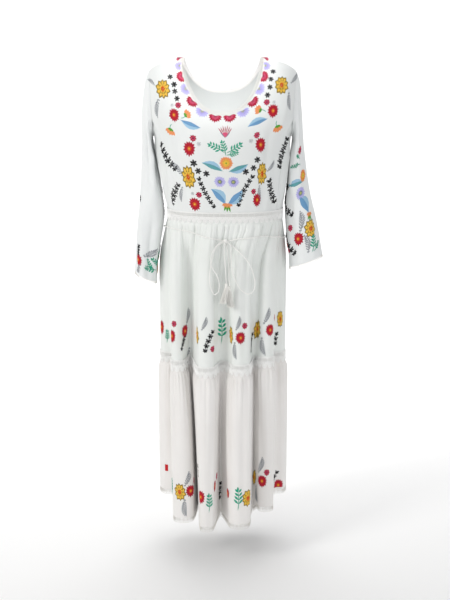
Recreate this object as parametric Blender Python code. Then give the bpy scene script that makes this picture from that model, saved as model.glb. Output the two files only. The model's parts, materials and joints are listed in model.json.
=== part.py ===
"""A long-sleeved maxi dress as it hangs when it is worn: a hollow bodice with a scooped V neck,
two set-in sleeves, a gathered skirt tier and a gathered flounce, lace bands over the seams,
and a thin cord round the waist that is tied in a bow and ends in two tassels.

Metres, +Z up, the front faces -Y. The origin is midway between the two neck points of the
shoulder seams, where the wearer's shoulders hold the dress up. Left and right are the wearer's:
the right side is -X. "down" is a distance below the origin.
"""

import math

import bmesh
import bpy
import numpy as np
from mathutils import Vector

# Cloth and seams
WALL = 0.0015  # thickness of the cloth walls
SEAM_GAP = 0.0003  # between pieces that are sewn together
LACE_WALL = 0.0010
LACE_CLEAR = 0.0009  # from a panel's outer points to the lace that lies on it
EDGING_CLEAR = 0.0002  # more than the seam gap, from a curved edge to the lace sewn to it

# Levels below the neck points
WAIST_DOWN = 0.432
WAIST_LACE_ABOVE = 0.013
WAIST_LACE_BELOW = 0.0185
TIER_LACE_ABOVE = 0.0165
TIER_LACE_BELOW = 0.0175
HEM_LACE_HIGH = 0.015
HEM_LACE_FLARE = 0.3  # how much of the flounce's slope its edging takes on
HEM_LACE_CLEAR = 0.0005
HEM_LACE_TOOTH = 0.004  # how much shorter the edging is between its scallops
WAIST_LACE_TOOTH = 0.32  # the same, as a share of the lace below the seam
TIER_LACE_TOOTH = 0.22
CUFF_LACE_HIGH = 0.0085

# Neck opening of the cloth, and the lace that narrows it
NECK_HALF_WIDTH = 0.116
NECK_FRONT_DOWN = 0.153
NECK_BACK_DOWN = 0.100
NECK_POWER = 4 / 3  # of the cosine: 1 is half an ellipse, and more is closer to a V
NECK_FULLNESS = 0.78  # power of the sine: less than 1 rounds out the neckline's lower half
NECK_LACE_WIDE = 0.010

# Armholes
TIP_X = 0.205
UNDERARM_X = 0.193
UNDERARM_DOWN = 0.215
ARMHOLE_SCOOP = 0.002  # how far the armhole curves in towards the neck
SHOULDER_ROUND = 0.085  # depth over which front and back round over into the shoulder seam
ARMHOLE_REACH = 0.25  # share of the sleeve over which it leaves the armhole's own form

# Shares of the way from the centre to the side seam at the waist
NECK_SHARE = 0.34
SHOULDER_SHARE = 0.56
SIDE_SHARE = 0.80  # from here to the side seam, columns bend in under the armhole
SIDE_POWER = 1.3

SQUARENESS = 2.2  # power of the torso's rounded sections: 2 is an ellipse

# Mesh density
NECK_COLUMNS = 6
SHOULDER_COLUMNS = 3
ARMHOLE_COLUMNS = 10
BODICE_ROWS = 7
BODICE_ROW_POWER = 1.5  # more than 1 brings the rows closer together towards the top
SLEEVE_COLUMNS = 2 * ARMHOLE_COLUMNS
SLEEVE_ROWS = (0, 0.04, 0.09, 0.16, 0.26, 0.38, 0.52, 0.66, 0.80, 0.91, 1.0)  # shares of its length
SKIRT_PITCH = 0.0130  # between the columns of points round the skirt
SKIRT_ROWS = (0.065, 0.19)  # below the waist, between the rows at the lace
FLOUNCE_ROWS = (0.045, 0.13, 0.27)  # below the tier seam, past the row at the lace

# Gathers and pleats
WAIST_GATHER_DEPTH = 0.0030
FLOUNCE_GATHER_DEPTH = 0.0022
GATHER_RISE = 0.02  # over which gathers grow out of the lace
WAIST_GATHER_FALL = 0.10  # over which they then die away
FLOUNCE_GATHER_FALL = 0.09
BODICE_PLEAT_DEPTH = 0.0035
BODICE_PLEATS = 26  # waves in the half turn of the front or the back
BODICE_PLEAT_HIGH = 0.16
BODICE_PLEAT_MIDDLE = 0.56  # turn at which the pleats are deepest
BODICE_PLEAT_SPREAD = 0.20
VALLEY_CALM = 0.03  # share of the front or back over which gathers return beside a valley
VALLEY_REACH = 0.06  # share over which a valley is slower to open below the waist
VALLEY_SLOWNESS = 0.45
SKIRT_OPENING = 0.215  # share of the first tier by which its folds have mostly opened
FLOUNCE_PUFF = 0.005  # how far the flounce stands out just below its seam

# Cord and tassels
CORD_THICK = 0.0032
CORD_CLEAR = 0.0017  # from the gathers' crests to the cord
BOW_CLEAR = 0.001  # from the skirt's foremost fold to the bow
BOW_EASE = 0.004  # how softly the bow passes from the knot to that fold
BOW_START, BOW_REACH = 0.010, 0.030  # from the knot, where the bow starts to leave it and over how far
BELT_POINTS = 60
KNOT_WIDE = 0.0124
KNOT_AHEAD = 0.0015  # of the cord's centre line
KNOT_SHARE = 0.515  # where the bow is tied, as a share of the way across the front
TASSEL_HEAD_HIGH = 0.012
TASSEL_SIDES = 10
TASSEL_HEAD_WIDE = 0.0085
STRAND_INSET = 0.00022
STRAND_SPREAD_VARIES = 0.12
STRAND_LENGTH_VARIES = 0.05
STRANDS_OUTSIDE, STRANDS_INSIDE = 0.0105, 0.0045  # how far out the strands' ends hang
TASSEL_FLATNESS = 0.38  # how much less the strands spread forwards and back than sideways

CLOTH_COLOUR = (0.90, 0.91, 0.90, 1.0)
LACE_COLOUR = (0.95, 0.95, 0.95, 1.0)
CORD_COLOUR = (0.94, 0.94, 0.92, 1.0)


def smooth_between(keys, values, at):
    """A curve through values at increasing keys that never overshoots them."""
    step = np.diff(keys)
    slope = np.diff(values) / step
    product = slope[:-1] * slope[1:]
    total = np.where(product > 0, slope[:-1] + slope[1:], 1.0)
    inner = np.where(product > 0, 2 * product / total, 0.0)
    tangent = np.concatenate([slope[:1], inner, slope[-1:]])
    i = np.clip(np.searchsorted(keys, at, side="right") - 1, 0, len(keys) - 2)
    t = np.clip((at - keys[i]) / step[i], 0, 1)
    rise = values[i + 1] - values[i]
    return (
        values[i]
        + rise * t * t * (3 - 2 * t)
        + step[i] * (tangent[i] * t * (1 - t) ** 2 - tangent[i + 1] * t * t * (1 - t))
    )


class Table:
    """Rows with named columns, read smoothly along the first column."""

    def __init__(self, columns, rows):
        self.key = columns[0]
        self.column = dict(zip(columns, np.array(rows, float).T))

    def read(self, name, at):
        return smooth_between(self.column[self.key], self.column[name], np.asarray(at, float))


TORSO = Table(
    ("down", "centre_x", "half_width", "front_depth", "back_depth"),
    (
        (0.000, 0.000, 0.222, 0.078, 0.080),
        (0.050, 0.000, 0.222, 0.092, 0.100),
        (0.100, 0.000, 0.222, 0.106, 0.112),
        (0.150, 0.000, 0.219, 0.119, 0.116),
        (0.190, 0.000, 0.204, 0.128, 0.115),
        (0.215, 0.000, 0.193, 0.133, 0.113),
        (0.270, 0.001, 0.185, 0.138, 0.108),
        (0.320, 0.003, 0.178, 0.133, 0.103),
        (0.373, 0.005, 0.170, 0.122, 0.098),
        (0.432, 0.007, 0.164, 0.113, 0.095),
        (0.470, 0.007, 0.164, 0.113, 0.095),
    ),
)

SHOULDER_RIDGE = Table(
    ("half_x", "down"),
    ((0.000, -0.020), (0.109, 0.000), (0.173, 0.0165), (0.205, 0.036), (0.235, 0.080)),
)

# The outer line of a sleeve runs from the shoulder tip down the outside of the arm, and the
# inner line from the underarm down the inside. Each ring of the sleeve spans the two lines.
SLEEVE_COLUMN_NAMES = (
    "share", "outer_x", "outer_down", "inner_x", "inner_down", "half_depth", "centre_y"
)
RIGHT_SLEEVE = Table(
    SLEEVE_COLUMN_NAMES,
    (
        (0.00, 0.205, 0.036, 0.1930, 0.215, 0.060, 0.000),
        (0.08, 0.217, 0.072, 0.1965, 0.219, 0.061, 0.000),
        (0.18, 0.222, 0.135, 0.1965, 0.232, 0.061, 0.001),
        (0.32, 0.227, 0.225, 0.1890, 0.276, 0.058, 0.003),
        (0.48, 0.232, 0.315, 0.1780, 0.352, 0.055, 0.007),
        (0.64, 0.239, 0.405, 0.1725, 0.438, 0.053, 0.012),
        (0.80, 0.248, 0.490, 0.1830, 0.528, 0.053, 0.017),
        (0.92, 0.254, 0.565, 0.1915, 0.601, 0.054, 0.020),
        (1.00, 0.257, 0.604, 0.1920, 0.636, 0.054, 0.020),
    ),
)
LEFT_SLEEVE = Table(
    SLEEVE_COLUMN_NAMES,
    (
        (0.00, 0.205, 0.036, 0.1930, 0.215, 0.060, 0.000),
        (0.08, 0.217, 0.072, 0.1965, 0.219, 0.061, 0.000),
        (0.18, 0.221, 0.135, 0.1970, 0.232, 0.060, 0.000),
        (0.32, 0.225, 0.220, 0.1920, 0.272, 0.057, -0.001),
        (0.48, 0.235, 0.300, 0.1860, 0.340, 0.052, -0.003),
        (0.64, 0.251, 0.380, 0.1820, 0.414, 0.048, -0.004),
        (0.80, 0.270, 0.456, 0.1860, 0.490, 0.045, -0.004),
        (0.92, 0.283, 0.520, 0.1910, 0.556, 0.043, -0.003),
        (1.00, 0.289, 0.553, 0.1925, 0.590, 0.042, -0.002),
    ),
)

# The skirt's large folds, in order round the dress from the right side over the front.
# A fold's crest stands at crest_x and crest_y and faces the angle "facing" (270 is the front).
# The valley that follows it lies at valley_x and valley_y. "down" is the level of the edge.
FOLD_COLUMN_NAMES = (
    "name", "crest_x", "crest_y", "facing", "half_width", "valley_x", "valley_y", "down"
)
FOLDS_AT_TIER = (
    ("right_side", -0.186, 0.030, 180, 0.034, -0.142, -0.034, 0.866),
    ("front_a", -0.131, -0.088, 265, 0.019, -0.097, -0.040, 0.868),
    ("front_b", -0.048, -0.128, 268, 0.026, -0.004, -0.075, 0.877),
    ("front_c", 0.052, -0.122, 272, 0.029, 0.091, -0.056, 0.872),
    ("front_d", 0.126, -0.080, 276, 0.025, 0.143, -0.030, 0.860),
    ("left_side", 0.187, 0.030, 360, 0.034, 0.136, 0.070, 0.866),
    ("back_a", 0.112, 0.122, 445, 0.030, 0.070, 0.092, 0.868),
    ("back_b", 0.028, 0.132, 450, 0.026, -0.012, 0.096, 0.870),
    ("back_c", -0.050, 0.130, 452, 0.024, -0.088, 0.090, 0.870),
    ("back_d", -0.124, 0.116, 458, 0.026, -0.136, 0.068, 0.868),
)
FOLDS_AT_HEM = (
    ("right_side", -0.193, 0.034, 180, 0.040, -0.140, -0.036, 1.285),
    ("front_a", -0.117, -0.116, 268, 0.032, -0.075, -0.034, 1.328),
    ("front_b", -0.046, -0.160, 270, 0.021, -0.006, -0.064, 1.337),
    ("front_c", 0.049, -0.150, 271, 0.033, 0.092, -0.036, 1.333),
    ("front_d", 0.129, -0.078, 274, 0.025, 0.145, -0.030, 1.310),
    ("left_side", 0.195, 0.034, 360, 0.038, 0.143, 0.082, 1.285),
    ("back_a", 0.116, 0.148, 447, 0.034, 0.072, 0.096, 1.315),
    ("back_b", 0.030, 0.160, 450, 0.027, -0.010, 0.100, 1.320),
    ("back_c", -0.050, 0.156, 451, 0.025, -0.090, 0.094, 1.320),
    ("back_d", -0.130, 0.140, 456, 0.030, -0.141, 0.084, 1.310),
)
VALLEY_LIFT = 0.006  # how far the edge rises in a valley

# A fold's section, in half widths: along the fold's front, and how far back from its crest
FOLD_SECTION = ((-1.0, 1.00), (-0.80, 0.34), (0.0, 0.0), (0.80, 0.34), (1.0, 1.00))

# The cord's level round the waist, by the share of the way across the front and then the back
CORD_LEVEL = Table(
    ("share", "down"),
    (
        (0.00, 0.4740),
        (0.16, 0.4690),
        (0.34, 0.4780),
        (0.44, 0.4890),
        (0.515, 0.4990),
        (0.60, 0.4920),
        (0.70, 0.4880),
        (0.84, 0.4940),
        (1.00, 0.5060),
        (1.50, 0.4900),
        (2.00, 0.4740),
    ),
)

# The bow: points across and down from the knot, and how far each lies in front of the cord
BOW_RIGHT_LOOP = (
    (-0.0054, 0.0041, 0.0000), (-0.017, 0.009, 0.0000), (-0.029, 0.021, 0.0005),
    (-0.036, 0.044, 0.0010), (-0.042, 0.074, 0.0015), (-0.045, 0.105, 0.0020),
    (-0.037, 0.138, 0.0030), (-0.027, 0.148, 0.0040), (-0.019, 0.134, 0.0050),
    (-0.018, 0.112, 0.0060), (-0.027, 0.086, 0.0068), (-0.039, 0.066, 0.0072),
    (-0.040, 0.040, 0.0068), (-0.030, 0.016, 0.0070), (-0.015, 0.003, 0.0082),
    (-0.0051, 0.0000, 0.0045),
)
BOW_LEFT_LOOP = (
    (0.0054, 0.0041, 0.0000), (0.0175, 0.012, 0.0000), (0.036, 0.026, 0.0005),
    (0.054, 0.044, 0.0010), (0.069, 0.066, 0.0012), (0.079, 0.096, 0.0015),
    (0.082, 0.120, 0.0020), (0.076, 0.139, 0.0025), (0.062, 0.145, 0.0030),
    (0.045, 0.135, 0.0035), (0.031, 0.114, 0.0040), (0.021, 0.088, 0.0044),
    (0.016, 0.056, 0.0048), (0.0150, 0.028, 0.0064), (0.0125, 0.007, 0.0082),
    (0.0051, 0.0007, 0.0045),
)
RIGHT_TAIL = (
    (-0.0020, 0.0051, 0.0041), (-0.0035, 0.030, 0.0078), (-0.001, 0.062, 0.0090),
    (0.001, 0.092, 0.0100), (0.002, 0.112, 0.0105),
)
LEFT_TAIL = (
    (0.0017, 0.0066, 0.0000), (0.0060, 0.030, -0.0008), (0.0092, 0.062, -0.0020),
    (0.0095, 0.095, -0.0028), (0.0105, 0.124, -0.0030),
)
RIGHT_TASSEL_LONG, RIGHT_TASSEL_LEAN = 0.058, -0.010
LEFT_TASSEL_LONG, LEFT_TASSEL_LEAN = 0.064, 0.004

# The tassel's head from its top to its underside, in shares of its half width and its height
TASSEL_HEAD = (
    (0.00, 0.0), (0.55, 1 / 30), (0.95, 0.22), (1.00, 0.45), (0.72, 0.62),
    (0.80, 0.78), (1.00, 1.0), (0.60, 1.0), (0.26, 1.0), (0.00, 1.0),
)


def unit(vectors):
    return vectors / np.maximum(np.linalg.norm(vectors, axis=-1, keepdims=True), 1e-12)


def stacked(*coordinates):
    return np.stack(np.broadcast_arrays(*coordinates), axis=-1)


# The torso: a form whose sections are rounded rectangles that close over at the shoulders


def turn_at(x, down):
    """The share of a quarter turn at which the torso's section reaches x: 0 is the centre."""
    across = np.clip(np.abs(x) / TORSO.read("half_width", down), 0, 1)
    return np.sign(x) * np.arcsin(across ** (SQUARENESS / 2)) / (math.pi / 2)


def bodice_pleats(turn, down):
    """Soft pleats that rise from the waist on both sides of the flat centre."""
    height = WAIST_DOWN - WAIST_LACE_ABOVE - np.asarray(down)
    fade = np.clip(height / GATHER_RISE, 0, 1) * np.clip(1 - height / BODICE_PLEAT_HIGH, 0, 1)
    beside = np.exp(-(((np.abs(turn) - BODICE_PLEAT_MIDDLE) / BODICE_PLEAT_SPREAD) ** 2))
    return BODICE_PLEAT_DEPTH * fade * beside * np.cos(math.pi * BODICE_PLEATS / 2 * turn)


def torso_point(side, turn, down, pleated=True):
    """A point of the torso: side is -1 in front and 1 behind, turn runs from -1 to 1."""
    angle = np.asarray(turn, float) * math.pi / 2
    power = 2 / SQUARENESS
    depth = TORSO.read("front_depth" if side < 0 else "back_depth", down)
    out = bodice_pleats(turn, down) if pleated else 0.0
    across = np.sign(angle) * np.abs(np.sin(angle)) ** power
    x = TORSO.read("centre_x", down) + across * (TORSO.read("half_width", down) + out)
    under = np.clip((down - SHOULDER_RIDGE.read("down", np.abs(x))) / SHOULDER_ROUND, 0, 1)
    rounding = np.sqrt(np.clip(1 - (1 - under) ** 2, 0, 1))
    y = side * (depth + out) * np.abs(np.cos(angle)) ** power * rounding
    return stacked(x, y, -np.asarray(down, float))


def neckline(side, angle, lace=0.0):
    """Turn and level of the neck edge. angle runs from 0 at the centre to a quarter turn."""
    deep = (NECK_FRONT_DOWN if side < 0 else NECK_BACK_DOWN) - lace
    across = np.sign(angle) * np.abs(np.sin(angle)) ** NECK_FULLNESS
    x = (NECK_HALF_WIDTH - lace) * across
    down = deep * np.clip(np.cos(angle), 0, 1) ** NECK_POWER
    return turn_at(x, down), down


def shoulder_seam(share):
    """Turn and level of the shoulder seam, from the neck point to the tip."""
    x = NECK_HALF_WIDTH + (TIP_X - NECK_HALF_WIDTH) * share
    down = SHOULDER_RIDGE.read("down", x)
    return turn_at(x, down), down


def armhole(angle):
    """Turn and level of the armhole, from the shoulder tip at 0 to the underarm at pi."""
    share = (1 - np.cos(angle)) / 2
    tip = float(SHOULDER_RIDGE.read("down", TIP_X))
    down = tip + (UNDERARM_DOWN - tip) * share
    x = TIP_X + (UNDERARM_X - TIP_X) * share - ARMHOLE_SCOOP * np.sin(angle) ** 2
    return np.where(np.isclose(share, 1.0), 1.0, turn_at(x, down)), down


def bodice_columns(side):
    """Half a bodice panel's columns: their turns at the waist, and their turns and levels at the top."""
    neck = np.linspace(0, math.pi / 2, NECK_COLUMNS + 1)
    shoulder = np.linspace(0, 1, SHOULDER_COLUMNS + 1)[1:]
    arm = np.linspace(0, math.pi, ARMHOLE_COLUMNS + 1)[1:]
    tops = [neckline(side, neck), shoulder_seam(shoulder), armhole(arm)]
    waist = np.concatenate(
        [
            NECK_SHARE * neck / (math.pi / 2),
            NECK_SHARE + (SHOULDER_SHARE - NECK_SHARE) * shoulder,
            SHOULDER_SHARE + (1 - SHOULDER_SHARE) * arm / math.pi,
        ]
    )
    return waist, np.concatenate([t[0] for t in tops]), np.concatenate([t[1] for t in tops])


def across_of(turn):
    """The share of the half width at a turn."""
    return np.sin(turn * math.pi / 2) ** (2 / SQUARENESS)


def column_turns(waist, turn_top, down_top, rise, down):
    """The turns down the bodice's columns. They run straight in x, and at the side in the share
    of the half width, so that the columns above the armhole pass inside its lower half."""
    near_side = np.clip((waist - SIDE_SHARE) / (1 - SIDE_SHARE), 0, 1) ** SIDE_POWER
    low, high = across_of(waist), across_of(turn_top)
    wide_low = TORSO.read("half_width", WAIST_DOWN - WAIST_LACE_ABOVE)
    wide_high = TORSO.read("half_width", down_top)
    straight = low * wide_low + (high * wide_high - low * wide_low) * rise
    straight = straight / TORSO.read("half_width", down)
    share = straight * (1 - near_side) + (low + (high - low) * rise) * near_side
    return np.arcsin(np.clip(share, 0, 1) ** (SQUARENESS / 2)) / (math.pi / 2)


def bodice_grid(side):
    """The outer points of a bodice panel, rows from the waist up and columns from right to left."""
    waist, turn_top, down_top = bodice_columns(side)
    lowest = WAIST_DOWN - SEAM_GAP / 2
    flat_top = WAIST_DOWN - WAIST_LACE_ABOVE
    rise = 1 - (1 - np.linspace(0, 1, BODICE_ROWS + 1)[:, None]) ** BODICE_ROW_POWER
    down = flat_top + (down_top - flat_top) * rise
    turn = np.vstack([waist, column_turns(waist, turn_top, down_top, rise, down)])
    down = np.vstack([np.full_like(waist, lowest), down])
    half = torso_point(side, turn, down)
    other = torso_point(side, -turn[:, :0:-1], down[:, :0:-1])
    points = np.concatenate([other, half], axis=1)
    points[..., 1] += side * SEAM_GAP
    return points


def armhole_rim(points):
    """Directions from the middle of an armhole to its rim, in the plane of its seam."""
    tip = float(SHOULDER_RIDGE.read("down", TIP_X))
    away = points + np.array([0, 0, (UNDERARM_DOWN + tip) / 2])
    away[..., 0] = 0
    return unit(away)


def bodice_normals(points, side):
    """Normals for a bodice panel, kept in the seams' own planes where it is sewn."""
    normals = grid_normals(points, closed=False)
    number = np.abs(np.arange(points.shape[1]) - points.shape[1] // 2)
    on_shoulder = (number >= NECK_COLUMNS) & (number <= NECK_COLUMNS + SHOULDER_COLUMNS)
    normals[-1, on_shoulder, 1] = 0
    past_tip = number - NECK_COLUMNS - SHOULDER_COLUMNS
    turned_in = np.clip(1 - 2 * past_tip / ARMHOLE_COLUMNS, 0, 1)
    rim = np.where(past_tip < 0, 0, turned_in)[:, None]
    normals[-1] = armhole_rim(points[-1]) * rim + normals[-1] * (1 - rim)
    normals[:, [0, -1], 1] = 0
    normals[0, :, 2] = 0
    return unit(normals)


# Sleeves: rings that start as the armhole and turn into the cuff


def sleeve_ring(table, hand, share, angles):
    """A ring of a sleeve. Angle 0 is the outer line, a quarter turn is the front."""
    read = {name: float(table.read(name, share)) for name in SLEEVE_COLUMN_NAMES[1:]}
    outer = np.array([hand * read["outer_x"], -read["outer_down"]])
    inner = np.array([hand * read["inner_x"], -read["inner_down"]])
    across = (outer - inner) / 2
    middle = (outer + inner) / 2
    x = middle[0] + across[0] * np.cos(angles)
    z = middle[1] + across[1] * np.cos(angles)
    y = read["centre_y"] - read["half_depth"] * np.sin(angles)
    return stacked(x, y, z)


def armhole_loop(hand, angles):
    """The armhole as a closed loop on the torso, with its points in a sleeve ring's order."""
    in_front = np.sin(angles) >= 0
    turn, down = armhole(np.where(in_front, angles, 2 * math.pi - angles))
    front = torso_point(-1, hand * turn, down)
    back = torso_point(1, hand * turn, down)
    return np.where(in_front[:, None], front, back)


def sleeve_grid(table, hand):
    angles = np.linspace(0, 2 * math.pi, SLEEVE_COLUMNS, endpoint=False)
    seam = armhole_loop(hand, angles) - sleeve_ring(table, hand, 0.0, angles)
    rows = []
    for share in SLEEVE_ROWS:
        fade = np.clip(1 - share / ARMHOLE_REACH, 0, 1) ** 2
        ring = sleeve_ring(table, hand, share, angles) + seam * fade
        rows.append(ring)
    rows[0][:, 0] += hand * 2 * SEAM_GAP
    return np.array(rows)


# The skirt: closed rings of folds, blended from the waist down


def crest_points(row):
    """The points of one fold as it is walked round: over its crest and into the next valley."""
    fold = dict(zip(FOLD_COLUMN_NAMES, row))
    angle = math.radians(fold["facing"])
    outward = np.array([math.cos(angle), math.sin(angle)])
    along = np.array([-math.sin(angle), math.cos(angle)])
    crest = np.array([fold["crest_x"], fold["crest_y"]])
    wide = fold["half_width"]
    places = [crest + wide * (a * along - b * outward) for a, b in FOLD_SECTION]
    valley = np.array([fold["valley_x"], fold["valley_y"], fold["down"] - VALLEY_LIFT])
    return [np.append(p, fold["down"]) for p in places] + [valley]


def fold_ring(folds):
    """The control points of a ring, which starts at the right side's crest."""
    points = np.array([p for row in folds for p in crest_points(row)])
    return np.roll(points, -2, axis=0)


TIER_RING = fold_ring(FOLDS_AT_TIER)
HEM_RING = fold_ring(FOLDS_AT_HEM)
LEFT_CREST = 6 * [row[0] for row in FOLDS_AT_TIER].index("left_side")


def walked(ring):
    return np.linalg.norm(np.diff(ring[:, :2], axis=0, append=ring[:1, :2]), axis=1)


def ring_knots():
    """The share at each control point: 0 to 1 over the front, and 1 to 2 over the back."""
    steps = walked(TIER_RING) + walked(HEM_RING)
    along = np.concatenate([[0], np.cumsum(steps)])
    at_left = along[LEFT_CREST]
    front = along[: LEFT_CREST + 1] / at_left
    back = 1 + (along[LEFT_CREST + 1 :] - at_left) / (along[-1] - at_left)
    return np.concatenate([front, back])


KNOTS = ring_knots()


def skirt_columns():
    """The shares of the columns: one at each control point, and evenly spaced ones between."""
    steps = (walked(TIER_RING) + walked(HEM_RING)) / 2
    counts = np.maximum(1, np.round(steps / SKIRT_PITCH)).astype(int)
    while counts.sum() % 4:
        counts[np.argmax(steps / counts)] += 1
    ends = np.append(KNOTS[1:], 2.0)
    spans = [np.linspace(a, b, n, endpoint=False) for a, b, n in zip(KNOTS, ends, counts)]
    return np.concatenate(spans)


COLUMNS = skirt_columns()
COLUMN_NUMBER = np.arange(len(COLUMNS))
LEFT_COLUMN = int(np.argmin(np.abs(COLUMNS - 1)))


def through(ring, share):
    """The ring's smooth curve at a share, as x, y and level: a spline with chord-length slopes."""
    share = np.mod(np.asarray(share, float), 2.0)
    count = len(ring)
    i = np.clip(np.searchsorted(KNOTS, share, side="right") - 1, 0, count - 1)
    step = np.diff(KNOTS)
    before, after = step[(i - 1) % count], step[(i + 1) % count]
    here = step[i]
    p0, p1, p2, p3 = (ring[(i + k) % count] for k in (-1, 0, 1, 2))

    def slope(a, b, c, left, right):
        left, right = left[..., None], right[..., None]
        return ((b - a) / left * right + (c - b) / right * left) / (left + right)

    start = slope(p0, p1, p2, before, here) * here[..., None]
    end = slope(p1, p2, p3, here, after) * here[..., None]
    t = ((share - KNOTS[i]) / here)[..., None]
    return (
        p1 * (1 + 2 * t) * (1 - t) ** 2
        + start * t * (1 - t) ** 2
        + p2 * t * t * (3 - 2 * t)
        - end * t * t * (1 - t)
    )


def waist_ring(share, down=WAIST_DOWN):
    """The torso's section at or near the waist, walked the same way as the fold rings."""
    share = np.mod(np.asarray(share, float), 2.0)
    front = torso_point(-1, 2 * share - 1, down, pleated=False)
    back = torso_point(1, 3 - 2 * share, down, pleated=False)
    return np.where((share <= 1)[..., None], front, back)


def out_of_valleys(share, reach):
    """0 in the bottoms of the valleys between the large folds, and 1 away from them."""
    off = np.abs(np.mod(share[..., None] - KNOTS[3::6] + 1, 2) - 1).min(axis=-1)
    return np.clip(off / reach, 0, 1)


def gather_fade(distance, fall):
    """How strongly gathers show at a distance below their lace."""
    grown = np.clip(distance / GATHER_RISE, 0, 1)
    return grown * np.exp(-np.clip(distance - GATHER_RISE, 0, None) / fall)


def skirt_point(share, fall):
    """The first tier without its gathers: fall is 0 at the waist and 1 at the tier seam."""
    waist, tier = waist_ring(share), through(TIER_RING, share)
    slow = VALLEY_SLOWNESS * (1 - out_of_valleys(np.asarray(share), VALLEY_REACH))
    opened = (1 - np.exp(-((fall / SKIRT_OPENING) ** 2))) * (1 - slow) + fall**1.3 * slow
    opened = opened[..., None]
    xy = waist[..., :2] * (1 - opened) + tier[..., :2] * opened
    down = WAIST_DOWN + (tier[..., 2] - WAIST_DOWN) * fall
    return np.concatenate([xy, -down[..., None]], axis=-1)


def flounce_point(share, fall):
    """The flounce without its gathers: fall is 0 at the tier seam and 1 at the hem."""
    tier, hem = through(TIER_RING, share), through(HEM_RING, share)
    opened = (1 - (1 - fall) ** 1.5)[..., None]
    xy = tier[..., :2] * (1 - opened) + hem[..., :2] * opened
    down = tier[..., 2] + (hem[..., 2] - tier[..., 2]) * fall
    return np.concatenate([xy, -down[..., None]], axis=-1)


def grid_normals(points, closed):
    """Unit normals of a grid whose columns run round the dress and whose rows run down or up it."""
    if closed:
        along = np.roll(points, -1, axis=1) - np.roll(points, 1, axis=1)
    else:
        along = np.gradient(points, axis=1)
    down = np.gradient(points, axis=0)
    normals = unit(np.cross(along, down))
    centre = points.mean(axis=(0, 1))
    outward = (normals * (points - centre)).sum() > 0
    return normals if outward else -normals


def skirt_grid():
    """The first tier with its waist gathers, its rows from the waist down."""
    long = through(TIER_RING, COLUMNS)[:, 2] - WAIST_DOWN
    below = np.array([SEAM_GAP / 2, WAIST_LACE_BELOW, *SKIRT_ROWS])[:, None]
    near_tier = 1 - np.array([TIER_LACE_ABOVE, SEAM_GAP / 2])[:, None] / long
    falls = np.vstack([below / long, near_tier])
    points = skirt_point(np.broadcast_to(COLUMNS, falls.shape), falls)
    fade = gather_fade(falls * long - WAIST_LACE_BELOW, WAIST_GATHER_FALL)
    fade[-2:] = 0
    wave = np.cos(math.pi / 2 * COLUMN_NUMBER) * out_of_valleys(COLUMNS, VALLEY_CALM)
    normals = grid_normals(points, closed=True)
    return points + normals * (WAIST_GATHER_DEPTH * fade * wave)[..., None]


def flounce_grid():
    """The flounce with the gathers under its seam, its rows from the seam down."""
    long = through(HEM_RING, COLUMNS)[:, 2] - through(TIER_RING, COLUMNS)[:, 2]
    below = np.array([SEAM_GAP / 2, TIER_LACE_BELOW, *FLOUNCE_ROWS])[:, None]
    falls = np.vstack([below / long, np.ones((1, len(COLUMNS)))])
    points = flounce_point(np.broadcast_to(COLUMNS, falls.shape), falls)
    past_lace = np.clip(falls * long - TIER_LACE_BELOW, 0, None)
    out = out_of_valleys(COLUMNS, VALLEY_CALM)
    fade = gather_fade(past_lace, FLOUNCE_GATHER_FALL)
    wave = FLOUNCE_GATHER_DEPTH * fade * np.cos(math.pi * COLUMN_NUMBER)
    puff = FLOUNCE_PUFF * (1 - np.exp(-past_lace / GATHER_RISE)) * (1 - falls)
    wave[-1] = 0
    normals = grid_normals(points, closed=True)
    return points + normals * ((wave + puff) * out)[..., None]


# Making solids


def wall_mesh(name, outer, inner, closed):
    """A wall between two grids of points, with its rims closed."""
    rows, columns = outer.shape[:2]
    points = np.concatenate([outer.reshape(-1, 3), inner.reshape(-1, 3)])
    inside = rows * columns
    last = columns if closed else columns - 1
    faces = []
    for r in range(rows - 1):
        for c in range(last):
            n = (c + 1) % columns
            quad = (r * columns + c, r * columns + n, (r + 1) * columns + n, (r + 1) * columns + c)
            faces.append(quad)
            faces.append(tuple(inside + k for k in reversed(quad)))
    for r in (0, rows - 1):
        for c in range(last):
            a, b = r * columns + c, r * columns + (c + 1) % columns
            faces.append((a, b, inside + b, inside + a))
    for c in () if closed else (0, columns - 1):
        for r in range(rows - 1):
            a, b = r * columns + c, (r + 1) * columns + c
            faces.append((a, b, inside + b, inside + a))
    mesh = bpy.data.meshes.new(name)
    mesh.from_pydata(points.tolist(), [], faces)
    shape = bmesh.new()
    shape.from_mesh(mesh)
    bmesh.ops.recalc_face_normals(shape, faces=shape.faces)
    shape.to_mesh(mesh)
    shape.free()
    return mesh


def placed(name, mesh, material):
    mesh.materials.append(material)
    mesh.shade_smooth()
    mesh.set_sharp_from_angle(angle=math.radians(40))
    made = bpy.data.objects.new(name, mesh)
    bpy.context.scene.collection.objects.link(made)
    return made


def panel(name, points, normals, material, closed=False):
    """Cloth of one wall's thickness whose outer side is the points."""
    return placed(name, wall_mesh(name, points, points - normals * WALL, closed), material)


def band(name, points, normals, material, closed=True):
    """Lace that lies on the points of a panel, moved out."""
    inner = points + normals * LACE_CLEAR
    outer = inner + normals * LACE_WALL
    return placed(name, wall_mesh(name, outer, inner, closed), material)


def level(normals):
    """The same normals, made horizontal so that a seam's two rims stay parallel."""
    flat = normals.copy()
    flat[..., 2] = 0
    return unit(flat)


def halves(points, normals):
    """Front and back of a closed grid, parted by the seam gap at the sides."""
    wrapped = np.append(COLUMN_NUMBER[LEFT_COLUMN:], 0)
    for side, columns in ((-1, COLUMN_NUMBER[: LEFT_COLUMN + 1]), (1, wrapped)):
        p, n = points[:, columns].copy(), normals[:, columns].copy()
        p[:, [0, -1], 1] += side * SEAM_GAP
        n[:, [0, -1], 1] = 0
        yield p, unit(n)


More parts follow.
